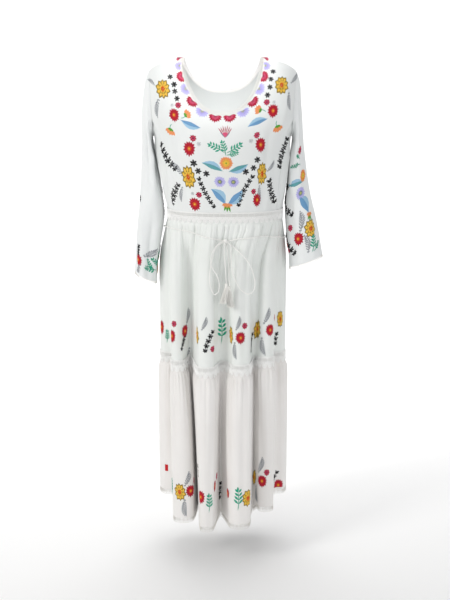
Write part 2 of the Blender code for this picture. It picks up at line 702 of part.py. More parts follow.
def make_bodice(cloth):
    for name, side in (("bodice_front", -1), ("bodice_back", 1)):
        points = bodice_grid(side)
        panel(name, points, bodice_normals(points, side), cloth)


def make_sleeves(cloth, lace):
    for name, table, hand in (("right", RIGHT_SLEEVE, -1), ("left", LEFT_SLEEVE, 1)):
        points = sleeve_grid(table, hand)
        normals = grid_normals(points, closed=True)
        normals[0] = armhole_rim(points[0])
        panel(f"sleeve_{name}", points, normals, cloth, closed=True)
        cuff, slope = points[-1], points[-1] - points[-2]
        way = unit(slope)
        top = cuff + way * (SEAM_GAP + EDGING_CLEAR)
        rows = np.array([top, cuff + way * CUFF_LACE_HIGH])
        edging = np.repeat(normals[-1:], 2, axis=0)
        mesh = wall_mesh(f"cuff_lace_{name}", rows, rows - edging * LACE_WALL, True)
        placed(f"cuff_lace_{name}", mesh, lace)


def make_skirt(cloth, lace):
    skirt, flounce = skirt_grid(), flounce_grid()
    skirt_normals = grid_normals(skirt, closed=True)
    flounce_normals = grid_normals(flounce, closed=True)
    for row in (0, 1, -2, -1):
        skirt_normals[row] = level(skirt_normals[row])
    for row in (0, 1, -1):
        flounce_normals[row] = level(flounce_normals[row])
    skirt_normals[-2:] = flounce_normals[0]
    flounce_normals[1] = flounce_normals[0]
    for side, (p, n) in zip(("front", "back"), halves(skirt, skirt_normals)):
        panel(f"skirt_{side}", p, n, cloth)
    for side, (p, n) in zip(("front", "back"), halves(flounce, flounce_normals)):
        panel(f"flounce_{side}", p, n, cloth)

    teeth = (COLUMN_NUMBER % 2)[:, None]
    above = waist_ring(COLUMNS, WAIST_DOWN - WAIST_LACE_ABOVE)
    below = skirt[1] + (skirt[0] - skirt[1]) * WAIST_LACE_TOOTH * teeth
    band("waist_lace", np.array([above, below]), skirt_normals[:2], lace)
    lower = flounce[1] + (flounce[0] - flounce[1]) * TIER_LACE_TOOTH * teeth
    rows = np.array([skirt[-2], skirt[-1], lower])
    band("tier_lace", rows, np.repeat(flounce_normals[:1], 3, axis=0), lace)

    hem, way = flounce[-1], flounce[-1] - flounce[-2]
    way[:, :2] *= HEM_LACE_FLARE
    way = unit(way)
    top = hem + way * (SEAM_GAP + HEM_LACE_CLEAR)
    bottom = hem + way * (HEM_LACE_HIGH - HEM_LACE_TOOTH * teeth)
    rows = np.array([top, bottom])
    edging = np.repeat(flounce_normals[-1:], 2, axis=0)
    mesh = wall_mesh("hem_lace", rows, rows - edging * LACE_WALL, True)
    placed("hem_lace", mesh, lace)


def make_neck_lace(lace):
    """The edging inside the neckline: it carries on the torso's form past the cloth's edge."""
    angles = np.linspace(-math.pi / 2, math.pi / 2, 2 * NECK_COLUMNS + 1)
    edge, inside, rims = [], [], []
    for side, way in ((-1, 1), (1, -1)):
        keep = slice(None) if side < 0 else slice(1, -1)
        points = bodice_grid(side)
        middle = points.shape[1] // 2
        neck = slice(middle - NECK_COLUMNS, middle + NECK_COLUMNS + 1)
        edge.append(points[-1, neck][::way][keep])
        rims.append(bodice_normals(points, side)[-1, neck][::way][keep])
        turn, down = neckline(side, angles[::way], NECK_LACE_WIDE)
        inside.append(torso_point(side, turn, down, pleated=False)[keep])
    edge, inside = np.concatenate(edge), np.concatenate(inside)
    edge[[0, 2 * NECK_COLUMNS], 1] = 0
    outside = edge + unit(inside - edge) * (2 * SEAM_GAP + EDGING_CLEAR)
    points = np.array([outside, inside])
    normals = np.repeat(np.concatenate(rims)[None], 2, axis=0)
    mesh = wall_mesh("neck_lace", points, points - normals * LACE_WALL, True)
    placed("neck_lace", mesh, lace)


# The cord, its bow and its tassels


def cord_round_waist(share):
    """The cord's centre line outside the gathers that it lies on."""
    share = np.asarray(share, float)
    wrapped = np.mod(share, 2.0)
    tier = through(TIER_RING, wrapped)[:, 2]
    fall = (CORD_LEVEL.read("down", wrapped) - WAIST_DOWN) / (tier - WAIST_DOWN)
    here = skirt_point(wrapped, fall)
    ahead = skirt_point(np.mod(wrapped + 0.01, 2.0), fall)
    along = unit((ahead - here)[:, :2])
    outward = np.stack([along[:, 1], -along[:, 0], np.zeros(len(along))], axis=1)
    return here + outward * (WAIST_GATHER_DEPTH + CORD_THICK / 2 + CORD_CLEAR)


def front_reach(down):
    """How far forward the first tier stands at a level, gathers included."""
    share = np.linspace(0.15, 0.85, 60)
    tier = through(TIER_RING, share)[:, 2]
    fall = (down - WAIST_DOWN) / (tier - WAIST_DOWN)
    return -float(skirt_point(share, fall)[:, 1].min()) + WAIST_GATHER_DEPTH


def knot_place():
    place = cord_round_waist([KNOT_SHARE])[0]
    place[1] -= KNOT_AHEAD
    return place


def bow_route(offsets, count):
    """A smooth route through points given across and down from the knot, clear of the skirt."""
    knot = knot_place()
    points = []
    for across, down, ahead in offsets:
        level_down = -knot[2] + down
        cleared = -front_reach(level_down) - CORD_THICK / 2 - BOW_CLEAR
        forward = (knot[1] + cleared - math.hypot(knot[1] - cleared, BOW_EASE)) / 2
        away = min(1.0, max(0.0, math.hypot(across, down) - BOW_START) / BOW_REACH)
        y = knot[1] + (forward - knot[1]) * away * away * (3 - 2 * away)
        points.append((knot[0] + across, y - ahead, -level_down))
    points = np.array(points)
    steps = np.linalg.norm(np.diff(points, axis=0), axis=1) ** 0.5
    keys = np.concatenate([[0], np.cumsum(steps)])
    at = np.linspace(0, keys[-1], 80 * len(points))
    fine = np.stack([spline(keys, points[:, k], at) for k in range(3)], axis=1)
    return evenly(outside_knot(fine), count)


def outside_knot(points):
    """The stretch of a finely divided route that lies clear of the knot."""
    clear = KNOT_WIDE / 2 + 2.5 * SEAM_GAP
    kept = np.flatnonzero(np.linalg.norm(points - knot_place(), axis=1) > clear)
    return points[kept[0] : kept[-1] + 1]


def evenly(points, count):
    """The same route through points an equal distance apart."""
    along = np.concatenate([[0], np.cumsum(np.linalg.norm(np.diff(points, axis=0), axis=1))])
    at = np.linspace(0, along[-1], count)
    return np.stack([np.interp(at, along, points[:, k]) for k in range(3)], axis=1)


def spline(keys, values, at):
    """A cubic through the values with centred slopes."""
    step = np.diff(keys)
    slope = np.diff(values) / step
    middle = (slope[:-1] * step[1:] + slope[1:] * step[:-1]) / (step[1:] + step[:-1])
    tangent = np.concatenate([slope[:1], middle, slope[-1:]])
    i = np.clip(np.searchsorted(keys, at, side="right") - 1, 0, len(keys) - 2)
    t = (at - keys[i]) / step[i]
    return (
        values[i] * (1 + 2 * t) * (1 - t) ** 2
        + values[i + 1] * t * t * (3 - 2 * t)
        + step[i] * (tangent[i] * t * (1 - t) ** 2 - tangent[i + 1] * t * t * (1 - t))
    )


def cord_tube(name, points, material):
    curve = bpy.data.curves.new(name, "CURVE")
    curve.dimensions = "3D"
    curve.bevel_depth = CORD_THICK / 2
    curve.bevel_resolution = 2
    curve.use_fill_caps = True
    line = curve.splines.new("POLY")
    line.points.add(len(points) - 1)
    for point, place in zip(line.points, points):
        point.co = (*place, 1.0)
    curve.materials.append(material)
    made = bpy.data.objects.new(name, curve)
    bpy.context.scene.collection.objects.link(made)
    return made


def turned(profile, centre, sides):
    """A closed shape turned about an upright axis from radii and heights, and its faces by row."""
    angles = np.linspace(0, 2 * math.pi, sides, endpoint=False)
    shape = bmesh.new()
    rings = []
    for radius, height in profile:
        if radius == 0:
            rings.append([shape.verts.new((centre[0], centre[1], centre[2] + height))])
            continue
        places = stacked(
            centre[0] + radius * np.cos(angles),
            centre[1] + radius * np.sin(angles),
            centre[2] + height,
        )
        rings.append([shape.verts.new(place) for place in places])
    faces = []
    for low, high in zip(rings, rings[1:]):
        row = []
        for k in range(sides):
            n = (k + 1) % sides
            below = [low[k % len(low)], low[n % len(low)]]
            above = [high[n % len(high)], high[k % len(high)]]
            row.append(shape.faces.new(list(dict.fromkeys(below + above))))
        faces.append(row)
    return shape, faces


def finished(name, shape, material):
    bmesh.ops.recalc_face_normals(shape, faces=shape.faces)
    mesh = bpy.data.meshes.new(name)
    shape.to_mesh(mesh)
    shape.free()
    return placed(name, mesh, material)


def make_knot(material):
    """The bow's knot: a small round lump that the cord's stretches run up to."""
    radius = KNOT_WIDE / 2
    heights = np.linspace(-1, 1, 7)
    profile = [
        (0 if abs(h) == 1 else radius * math.sqrt(1 - h * h), radius * h) for h in heights
    ]
    shape, _ = turned(profile, knot_place(), 12)
    finished("bow_knot", shape, material)


def hang_strand(shape, root, top, spread, length, lean):
    """A strand grown out of one face of the tassel's head, down to its free end."""
    corners = list(root.verts)
    middle = root.calc_center_median()
    offsets = [corner.co - middle for corner in corners]
    across, ahead = middle.x - top[0], middle.y - top[1]
    near = math.hypot(across, ahead)
    last = corners
    for share, thick in ((0.35, 1.0), (1.0, 0.8)):
        out = (near + (spread - near) * share**0.7) / near
        place = Vector(
            (
                top[0] + across * out + lean * share**1.5,
                top[1] + ahead * out * (1 - TASSEL_FLATNESS * share),
                middle.z - (length + middle.z - top[2]) * share,
            )
        )
        now = [shape.verts.new(place + offset * thick) for offset in offsets]
        for k in range(len(now)):
            n = (k + 1) % len(now)
            shape.faces.new((last[k], last[n], now[n], now[k]))
        last = now
    shape.faces.new(last)
    shape.faces.remove(root)


def tassel(name, top, long, lean, seed, material):
    """A tassel: a wound head whose strands grow out of its underside and spread below."""
    half = TASSEL_HEAD_WIDE / 2
    profile = [(half * wide, -TASSEL_HEAD_HIGH * fall) for wide, fall in TASSEL_HEAD]
    shape, faces = turned(profile, top, TASSEL_SIDES)
    outer, inner = faces[6], faces[7][::2]
    bmesh.ops.inset_individual(shape, faces=outer + inner, thickness=STRAND_INSET)
    pick = np.random.default_rng(seed)
    for roots, spread in ((outer, STRANDS_OUTSIDE), (inner, STRANDS_INSIDE)):
        for root in roots:
            reach = spread * (1 + STRAND_SPREAD_VARIES * pick.uniform(-1, 1))
            length = long * (1 + STRAND_LENGTH_VARIES * pick.uniform(-1, 1))
            hang_strand(shape, root, top, reach, length, lean)
    finished(name, shape, material)


def make_cord(material):
    route = cord_round_waist(KNOT_SHARE - np.linspace(0, 2, 4000))
    right, left = bow_route(RIGHT_TAIL, 9), bow_route(LEFT_TAIL, 10)
    cord_tube("belt_cord", evenly(outside_knot(route), BELT_POINTS), material)
    cord_tube("bow_loop_right", bow_route(BOW_RIGHT_LOOP, 26), material)
    cord_tube("bow_loop_left", bow_route(BOW_LEFT_LOOP, 24), material)
    cord_tube("cord_tail_right", right, material)
    cord_tube("cord_tail_left", left, material)
    make_knot(material)
    below = np.array([0, 0, -SEAM_GAP])
    tassel("tassel_right", right[-1] + below, RIGHT_TASSEL_LONG, RIGHT_TASSEL_LEAN, 1, material)
    tassel("tassel_left", left[-1] + below, LEFT_TASSEL_LONG, LEFT_TASSEL_LEAN, 2, material)


def material_of(name, colour, roughness, sheen):
    material = bpy.data.materials.new(name)
    material.use_nodes = True
    shader = material.node_tree.nodes["Principled BSDF"]
    shader.inputs["Base Color"].default_value = colour
    shader.inputs["Roughness"].default_value = roughness
    shader.inputs["Metallic"].default_value = 0.0
    shader.inputs["Sheen Weight"].default_value = sheen
    return material


def main():
    for leftover in list(bpy.data.objects):
        bpy.data.objects.remove(leftover, do_unlink=True)
    cloth = material_of("crepe", CLOTH_COLOUR, 0.75, 0.2)
    lace = material_of("cotton_lace", LACE_COLOUR, 0.85, 0.1)
    cord = material_of("cotton_cord", CORD_COLOUR, 0.80, 0.1)
    make_bodice(cloth)
    make_sleeves(cloth, lace)
    make_skirt(cloth, lace)
    make_neck_lace(lace)
    make_cord(cord)


main()
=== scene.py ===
"""The looks of a white, long-sleeved, tiered maxi dress with embroidered flowers and lace bands.

Metres, +Z up, the front faces -Y. The origin is midway between the two neck points of the
shoulder seams. Left and right are the wearer's: the right side is -X. "down" is a distance below
the origin, and "share" runs round the dress from the right side over the front (0 to 1) and over
the back (1 to 2).
"""

import functools
import json
import math

import bpy
import numpy as np
from mathutils import Vector
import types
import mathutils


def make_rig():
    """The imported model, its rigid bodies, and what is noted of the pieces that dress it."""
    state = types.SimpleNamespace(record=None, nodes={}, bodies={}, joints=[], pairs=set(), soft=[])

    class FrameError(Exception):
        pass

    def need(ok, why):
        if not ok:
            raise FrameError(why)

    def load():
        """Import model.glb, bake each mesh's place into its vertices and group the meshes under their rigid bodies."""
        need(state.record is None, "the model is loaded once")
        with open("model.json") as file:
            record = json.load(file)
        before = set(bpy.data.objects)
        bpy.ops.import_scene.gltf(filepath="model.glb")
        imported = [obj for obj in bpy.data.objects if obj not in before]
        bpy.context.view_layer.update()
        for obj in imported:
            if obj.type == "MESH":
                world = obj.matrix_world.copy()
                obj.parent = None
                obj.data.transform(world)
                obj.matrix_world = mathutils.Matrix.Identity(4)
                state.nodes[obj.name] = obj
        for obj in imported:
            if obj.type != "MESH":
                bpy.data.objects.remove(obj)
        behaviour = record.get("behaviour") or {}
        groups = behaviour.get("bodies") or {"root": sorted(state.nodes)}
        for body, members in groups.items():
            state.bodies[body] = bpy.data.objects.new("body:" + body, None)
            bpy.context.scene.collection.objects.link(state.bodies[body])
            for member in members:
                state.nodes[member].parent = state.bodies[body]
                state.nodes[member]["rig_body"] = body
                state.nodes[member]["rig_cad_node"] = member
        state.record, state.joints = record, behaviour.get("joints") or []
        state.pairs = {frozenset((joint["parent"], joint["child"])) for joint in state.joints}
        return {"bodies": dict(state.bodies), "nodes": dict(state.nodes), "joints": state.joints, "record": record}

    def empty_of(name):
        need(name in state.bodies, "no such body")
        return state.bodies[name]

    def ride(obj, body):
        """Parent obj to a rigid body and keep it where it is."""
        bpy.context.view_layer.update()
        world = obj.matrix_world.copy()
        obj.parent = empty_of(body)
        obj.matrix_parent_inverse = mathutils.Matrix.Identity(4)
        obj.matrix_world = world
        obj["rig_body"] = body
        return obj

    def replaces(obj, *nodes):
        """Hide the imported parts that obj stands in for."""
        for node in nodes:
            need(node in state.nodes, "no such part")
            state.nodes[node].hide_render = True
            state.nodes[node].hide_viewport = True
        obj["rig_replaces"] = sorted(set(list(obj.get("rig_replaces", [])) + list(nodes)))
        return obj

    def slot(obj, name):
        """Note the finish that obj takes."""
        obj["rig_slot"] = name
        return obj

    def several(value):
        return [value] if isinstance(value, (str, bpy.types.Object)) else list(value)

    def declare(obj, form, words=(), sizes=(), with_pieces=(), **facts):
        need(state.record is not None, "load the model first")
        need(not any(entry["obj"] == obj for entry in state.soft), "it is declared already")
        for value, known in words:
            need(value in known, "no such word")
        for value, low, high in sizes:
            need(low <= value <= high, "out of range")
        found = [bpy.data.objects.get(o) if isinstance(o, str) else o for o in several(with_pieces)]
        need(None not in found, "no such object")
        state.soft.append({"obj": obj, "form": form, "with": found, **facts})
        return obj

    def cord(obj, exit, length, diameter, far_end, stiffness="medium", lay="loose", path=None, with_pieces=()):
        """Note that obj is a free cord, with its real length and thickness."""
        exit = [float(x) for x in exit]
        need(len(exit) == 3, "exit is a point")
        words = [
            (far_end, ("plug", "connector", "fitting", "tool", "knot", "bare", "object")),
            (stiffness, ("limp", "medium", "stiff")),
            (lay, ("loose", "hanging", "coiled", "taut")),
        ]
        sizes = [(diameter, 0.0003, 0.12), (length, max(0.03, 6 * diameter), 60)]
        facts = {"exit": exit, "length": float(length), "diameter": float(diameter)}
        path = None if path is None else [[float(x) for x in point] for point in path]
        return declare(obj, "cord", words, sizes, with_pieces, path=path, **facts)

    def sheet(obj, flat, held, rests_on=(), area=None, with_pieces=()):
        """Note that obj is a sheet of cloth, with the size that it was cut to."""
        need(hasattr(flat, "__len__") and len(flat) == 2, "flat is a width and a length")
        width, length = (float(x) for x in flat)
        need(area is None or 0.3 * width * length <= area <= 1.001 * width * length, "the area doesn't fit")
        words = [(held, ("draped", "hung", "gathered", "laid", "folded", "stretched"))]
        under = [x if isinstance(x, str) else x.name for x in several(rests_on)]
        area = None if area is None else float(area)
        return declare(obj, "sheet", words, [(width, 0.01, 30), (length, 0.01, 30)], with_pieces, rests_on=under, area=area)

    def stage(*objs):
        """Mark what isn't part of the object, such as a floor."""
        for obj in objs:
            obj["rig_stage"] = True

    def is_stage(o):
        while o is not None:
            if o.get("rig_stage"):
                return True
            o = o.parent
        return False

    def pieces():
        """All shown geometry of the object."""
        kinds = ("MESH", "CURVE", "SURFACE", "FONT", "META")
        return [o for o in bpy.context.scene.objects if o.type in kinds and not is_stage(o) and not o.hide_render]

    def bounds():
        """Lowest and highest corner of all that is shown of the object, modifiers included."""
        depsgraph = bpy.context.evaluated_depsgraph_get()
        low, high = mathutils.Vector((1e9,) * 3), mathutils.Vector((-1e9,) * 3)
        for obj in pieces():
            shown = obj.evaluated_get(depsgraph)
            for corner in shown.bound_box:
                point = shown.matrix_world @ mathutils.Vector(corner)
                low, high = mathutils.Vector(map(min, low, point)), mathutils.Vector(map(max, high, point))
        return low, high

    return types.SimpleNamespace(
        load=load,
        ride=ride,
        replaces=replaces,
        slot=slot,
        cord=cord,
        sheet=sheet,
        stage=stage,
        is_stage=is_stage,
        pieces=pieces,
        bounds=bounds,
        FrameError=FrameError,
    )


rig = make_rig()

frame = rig.load()

bl_info = {
    "name": "Embroidered maxi dress",
    "version": (1, 0, 0),
    "blender": (4, 5, 0),
    "location": "3D View > Sidebar > Dress",
    "description": "Builds the cloth, lace, cord, tassels and embroidery of a tiered maxi dress",
    "category": "Object",
}

SIZE_FILE = "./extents.json"

# Levels and gaps of the cut, as in the solids
SEAM_GAP = 0.0003
LACE_CLEAR = 0.0009
LACE_FRONT = 0.0006
LACE_MARGIN = 0.0012
EDGING_SUNK = 0.0004
NET_BEHIND = 0.0004
NET_THICK = 0.0003
WAIST_DOWN = 0.432
WAIST_LACE_ABOVE = 0.013
WAIST_LACE_BELOW = 0.0185
TIER_LACE_ABOVE = 0.0165
TIER_LACE_BELOW = 0.0175
HEM_LACE_HIGH = 0.015
HEM_LACE_FLARE = 0.3
NECK_HALF_WIDTH = 0.116
NECK_FRONT_DOWN = 0.153
NECK_BACK_DOWN = 0.100
NECK_POWER = 4 / 3
NECK_FULLNESS = 0.78
NECK_LACE_WIDE = 0.010
CUFF_LACE_WIDE = 0.0085
TIP_X = 0.205
UNDERARM_X = 0.193
UNDERARM_DOWN = 0.215
ARMHOLE_SCOOP = 0.002
ARMHOLE_REACH = 0.25
SHOULDER_ROUND = 0.085
NECK_SHARE = 0.34
SHOULDER_SHARE = 0.56
SQUARENESS = 2.2
BODICE_PLEAT_DEPTH = 0.0035
BODICE_PLEATS = 26
BODICE_PLEAT_HIGH = 0.16
BODICE_PLEAT_FADE = 0.02
BODICE_PLEATS_AT = 0.56
BODICE_PLEATS_REACH = 0.20
SIDE_EASED_FROM = 0.80
GATHER_START = 0.012
CREASE_START = 0.03
TIER_FLATTENED = 0.10
PUFF_RISE = 0.02
VALLEY_CALM = 0.03
VALLEY_REACH = 0.06
VALLEY_SLOWNESS = 0.45
SKIRT_OPENING = 0.215
FLOUNCE_PUFF = 0.005
VALLEY_LIFT = 0.006
CORD_THICK = 0.0032
KNOT_WIDE = 0.0124
KNOT_PLACE = (0.0086, -0.1103, -0.4990)
KNOT_GROOVE = 0.10
TASSEL_HEAD_HIGH = 0.012
TASSEL_HEAD_WIDE = 0.0085
GOLDEN_ANGLE = 2.39996

# Heights and sizes of the embroidery
STITCH_SUNK = 0.0002
STITCH_LIFT = 0.0005
NECK_FLOWER_PITCH = 0.037
NECK_FLOWER_SIZE = 0.033
FLOSS = {
    "crimson": "#A80F33", "wine": "#5E0A24", "pink": "#D9577A", "red": "#C4161F", "peach": "#E8935C",
    "orange": "#D55E1C", "gold": "#E8BC45", "olive": "#86702A", "lilac": "#BAB5E8", "mist": "#7F889A",
    "teal": "#27A080", "sea": "#5FA0A6", "blue": "#9DC3DC", "deep_blue": "#6C9CC6", "grey": "#96999F",
    "green": "#52A02C", "lime": "#B7C06A", "black": "#141417", "mauve": "#A49DDB",
}

# Points of the fine surfaces
NECK_COLUMNS = 30
SHOULDER_COLUMNS = 12
ARMHOLE_COLUMNS = 36
BODICE_ROWS = 64
SLEEVE_COLUMNS = 96
SLEEVE_ROWS = 84
TIER_COLUMNS = 560
FLOUNCE_COLUMNS = 720
GROUND_COLUMNS = 8
GROUND_ROWS = 6
BAND_STEPS = 4000


def smooth_between(keys, values, at):
    """A curve through values at increasing keys that never overshoots them."""
    step = np.diff(keys)
    slope = np.diff(values) / step
    product = slope[:-1] * slope[1:]
    total = np.where(product > 0, slope[:-1] + slope[1:], 1.0)
    inner = np.where(product > 0, 2 * product / total, 0.0)
    tangent = np.concatenate([slope[:1], inner, slope[-1:]])
    i = np.clip(np.searchsorted(keys, at, side="right") - 1, 0, len(keys) - 2)
    t = np.clip((at - keys[i]) / step[i], 0, 1)
    rise = values[i + 1] - values[i]
    return (
        values[i]
        + rise * t * t * (3 - 2 * t)
        + step[i] * (tangent[i] * t * (1 - t) ** 2 - tangent[i + 1] * t * t * (1 - t))
    )


class Table:
    """Rows with named columns, read smoothly along the first column."""

    def __init__(self, columns, rows):
        self.key = columns[0]
        self.column = dict(zip(columns, np.array(rows, float).T))

    def read(self, name, at):
        return smooth_between(self.column[self.key], self.column[name], np.asarray(at, float))

    def row(self, at):
        return {name: self.read(name, at) for name in self.column if name != self.key}


TORSO = Table(
    ("down", "centre_x", "half_width", "front_depth", "back_depth"),
    (
        (0.000, 0.000, 0.222, 0.078, 0.080),
        (0.050, 0.000, 0.222, 0.092, 0.100),
        (0.100, 0.000, 0.222, 0.106, 0.112),
        (0.150, 0.000, 0.219, 0.119, 0.116),
        (0.190, 0.000, 0.204, 0.128, 0.115),
        (0.215, 0.000, 0.193, 0.133, 0.113),
        (0.270, 0.001, 0.187, 0.138, 0.108),
        (0.320, 0.003, 0.181, 0.133, 0.103),
        (0.373, 0.005, 0.173, 0.122, 0.098),
        (0.432, 0.007, 0.164, 0.113, 0.095),
        (0.470, 0.007, 0.164, 0.113, 0.095),
    ),
)
SHOULDER_RIDGE = Table(
    ("half_x", "down"),
    ((0.000, -0.020), (0.109, 0.000), (0.173, 0.0165), (0.205, 0.036), (0.235, 0.080)),
)
SLEEVE_COLUMN_NAMES = (
    "share", "outer_x", "outer_down", "inner_x", "inner_down", "half_depth", "centre_y"
)
RIGHT_SLEEVE = Table(
    SLEEVE_COLUMN_NAMES,
    (
        (0.00, 0.205, 0.036, 0.1930, 0.215, 0.060, 0.000),
        (0.08, 0.217, 0.072, 0.1965, 0.219, 0.061, 0.000),
        (0.18, 0.222, 0.135, 0.1965, 0.232, 0.061, 0.001),
        (0.32, 0.227, 0.225, 0.1875, 0.276, 0.058, 0.003),
        (0.48, 0.232, 0.315, 0.1745, 0.352, 0.055, 0.007),
        (0.64, 0.239, 0.405, 0.1655, 0.438, 0.053, 0.012),
        (0.80, 0.248, 0.490, 0.1790, 0.528, 0.053, 0.017),
        (0.92, 0.254, 0.565, 0.1915, 0.601, 0.054, 0.020),
        (1.00, 0.257, 0.604, 0.1920, 0.636, 0.054, 0.020),
    ),
)
LEFT_SLEEVE = Table(
    SLEEVE_COLUMN_NAMES,
    (
        (0.00, 0.205, 0.036, 0.1930, 0.215, 0.060, 0.000),
        (0.08, 0.217, 0.072, 0.1965, 0.219, 0.061, 0.000),
        (0.18, 0.221, 0.135, 0.1970, 0.232, 0.060, 0.000),
        (0.32, 0.225, 0.220, 0.1920, 0.272, 0.057, -0.001),
        (0.48, 0.235, 0.300, 0.1830, 0.340, 0.052, -0.003),
        (0.64, 0.251, 0.380, 0.1770, 0.414, 0.048, -0.004),
        (0.80, 0.270, 0.456, 0.1820, 0.490, 0.045, -0.004),
        (0.92, 0.283, 0.520, 0.1910, 0.556, 0.043, -0.003),
        (1.00, 0.289, 0.553, 0.1925, 0.590, 0.042, -0.002),
    ),
)
# name, crest x and y, the angle it faces, half width, valley x and y, level of the edge
FOLDS_AT_TIER = (
    ("right_side", -0.186, 0.030, 180, 0.034, -0.142, -0.034, 0.866),
    ("front_a", -0.131, -0.088, 265, 0.019, -0.097, -0.040, 0.868),
    ("front_b", -0.048, -0.128, 268, 0.026, -0.004, -0.075, 0.877),
    ("front_c", 0.052, -0.122, 272, 0.029, 0.091, -0.056, 0.872),
    ("front_d", 0.126, -0.080, 276, 0.025, 0.143, -0.030, 0.860),
    ("left_side", 0.187, 0.030, 360, 0.034, 0.136, 0.070, 0.866),
    ("back_a", 0.112, 0.122, 445, 0.030, 0.070, 0.092, 0.868),
    ("back_b", 0.028, 0.132, 450, 0.026, -0.012, 0.096, 0.870),
    ("back_c", -0.050, 0.130, 452, 0.024, -0.088, 0.090, 0.870),
    ("back_d", -0.124, 0.116, 458, 0.026, -0.136, 0.068, 0.868),
)
FOLDS_AT_HEM = (
    ("right_side", -0.193, 0.034, 180, 0.040, -0.140, -0.036, 1.285),
    ("front_a", -0.117, -0.116, 268, 0.032, -0.075, -0.034, 1.328),
    ("front_b", -0.046, -0.160, 270, 0.021, -0.006, -0.064, 1.337),
    ("front_c", 0.049, -0.150, 271, 0.033, 0.092, -0.036, 1.333),
    ("front_d", 0.129, -0.078, 274, 0.025, 0.145, -0.030, 1.310),
    ("left_side", 0.195, 0.034, 360, 0.038, 0.143, 0.082, 1.285),
    ("back_a", 0.116, 0.148, 447, 0.034, 0.072, 0.096, 1.315),
    ("back_b", 0.030, 0.160, 450, 0.027, -0.010, 0.100, 1.320),
    ("back_c", -0.050, 0.156, 451, 0.025, -0.090, 0.094, 1.320),
    ("back_d", -0.130, 0.140, 456, 0.030, -0.141, 0.084, 1.310),
)

# The cord's centre lines, which are the solids' own
BELT_ROUTE = (
    (0.0016, -0.1099, -0.4984), (-0.0126, -0.1162, -0.4938), (-0.0271, -0.1219, -0.4898),
    (-0.0431, -0.1210, -0.4871), (-0.0577, -0.1145, -0.4842), (-0.0704, -0.1048, -0.4807),
    (-0.0839, -0.0960, -0.4777), (-0.0991, -0.0910, -0.4746), (-0.1143, -0.0858, -0.4719),
    (-0.1291, -0.0794, -0.4699), (-0.1415, -0.0689, -0.4691), (-0.1495, -0.0547, -0.4692),
    (-0.1551, -0.0393, -0.4702), (-0.1603, -0.0239, -0.4717), (-0.1668, -0.0091, -0.4731),
    (-0.1687, 0.0071, -0.4741), (-0.1663, 0.0232, -0.4752), (-0.1576, 0.0368, -0.4765),
    (-0.1500, 0.0506, -0.4783), (-0.1438, 0.0656, -0.4794), (-0.1321, 0.0768, -0.4804),
    (-0.1172, 0.0833, -0.4814), (-0.1011, 0.0842, -0.4830), (-0.0863, 0.0910, -0.4843),
    (-0.0733, 0.1008, -0.4854), (-0.0582, 0.1067, -0.4863), (-0.0420, 0.1082, -0.4871),
    (-0.0263, 0.1042, -0.4880), (-0.0103, 0.1015, -0.4892), (0.0060, 0.1022, -0.4901),
    (0.0210, 0.1079, -0.4915), (0.0368, 0.1118, -0.4925), (0.0530, 0.1112, -0.4935),
    (0.0683, 0.1057, -0.4946), (0.0812, 0.0958, -0.4959), (0.0962, 0.0894, -0.4974),
    (0.1088, 0.0944, -0.5000), (0.1250, 0.0944, -0.5010), (0.1399, 0.0882, -0.5021),
    (0.1508, 0.0763, -0.5031), (0.1564, 0.0609, -0.5039), (0.1627, 0.0472, -0.5051),
    (0.1769, 0.0393, -0.5058), (0.1838, 0.0247, -0.5060), (0.1842, 0.0084, -0.5059),
    (0.1797, -0.0072, -0.5051), (0.1691, -0.0193, -0.5033), (0.1647, -0.0345, -0.4998),
    (0.1622, -0.0503, -0.4967), (0.1554, -0.0649, -0.4947), (0.1422, -0.0742, -0.4932),
    (0.1296, -0.0759, -0.4908), (0.1171, -0.0851, -0.4887), (0.1054, -0.0964, -0.4880),
    (0.0937, -0.1077, -0.4884), (0.0787, -0.1140, -0.4894), (0.0625, -0.1155, -0.4906),
    (0.0470, -0.1112, -0.4921), (0.0316, -0.1083, -0.4960), (0.0155, -0.1087, -0.4986),
)
RIGHT_LOOP_ROUTE = (
    (0.0030, -0.1103, -0.5032), (-0.0091, -0.1140, -0.5085), (-0.0173, -0.1227, -0.5155),
    (-0.0232, -0.1282, -0.5265), (-0.0266, -0.1299, -0.5399), (-0.0298, -0.1316, -0.5533),
    (-0.0324, -0.1328, -0.5668), (-0.0346, -0.1338, -0.5805), (-0.0363, -0.1346, -0.5943),
    (-0.0360, -0.1353, -0.6081), (-0.0337, -0.1358, -0.6218), (-0.0294, -0.1364, -0.6349),
    (-0.0213, -0.1373, -0.6460), (-0.0123, -0.1383, -0.6386), (-0.0090, -0.1389, -0.6252),
    (-0.0093, -0.1392, -0.6113), (-0.0129, -0.1393, -0.5979), (-0.0183, -0.1392, -0.5852),
    (-0.0259, -0.1390, -0.5736), (-0.0314, -0.1382, -0.5610), (-0.0323, -0.1368, -0.5472),
    (-0.0301, -0.1350, -0.5337), (-0.0250, -0.1331, -0.5210), (-0.0176, -0.1283, -0.5104),
    (-0.0084, -0.1209, -0.5031), (0.0033, -0.1148, -0.4990),
)
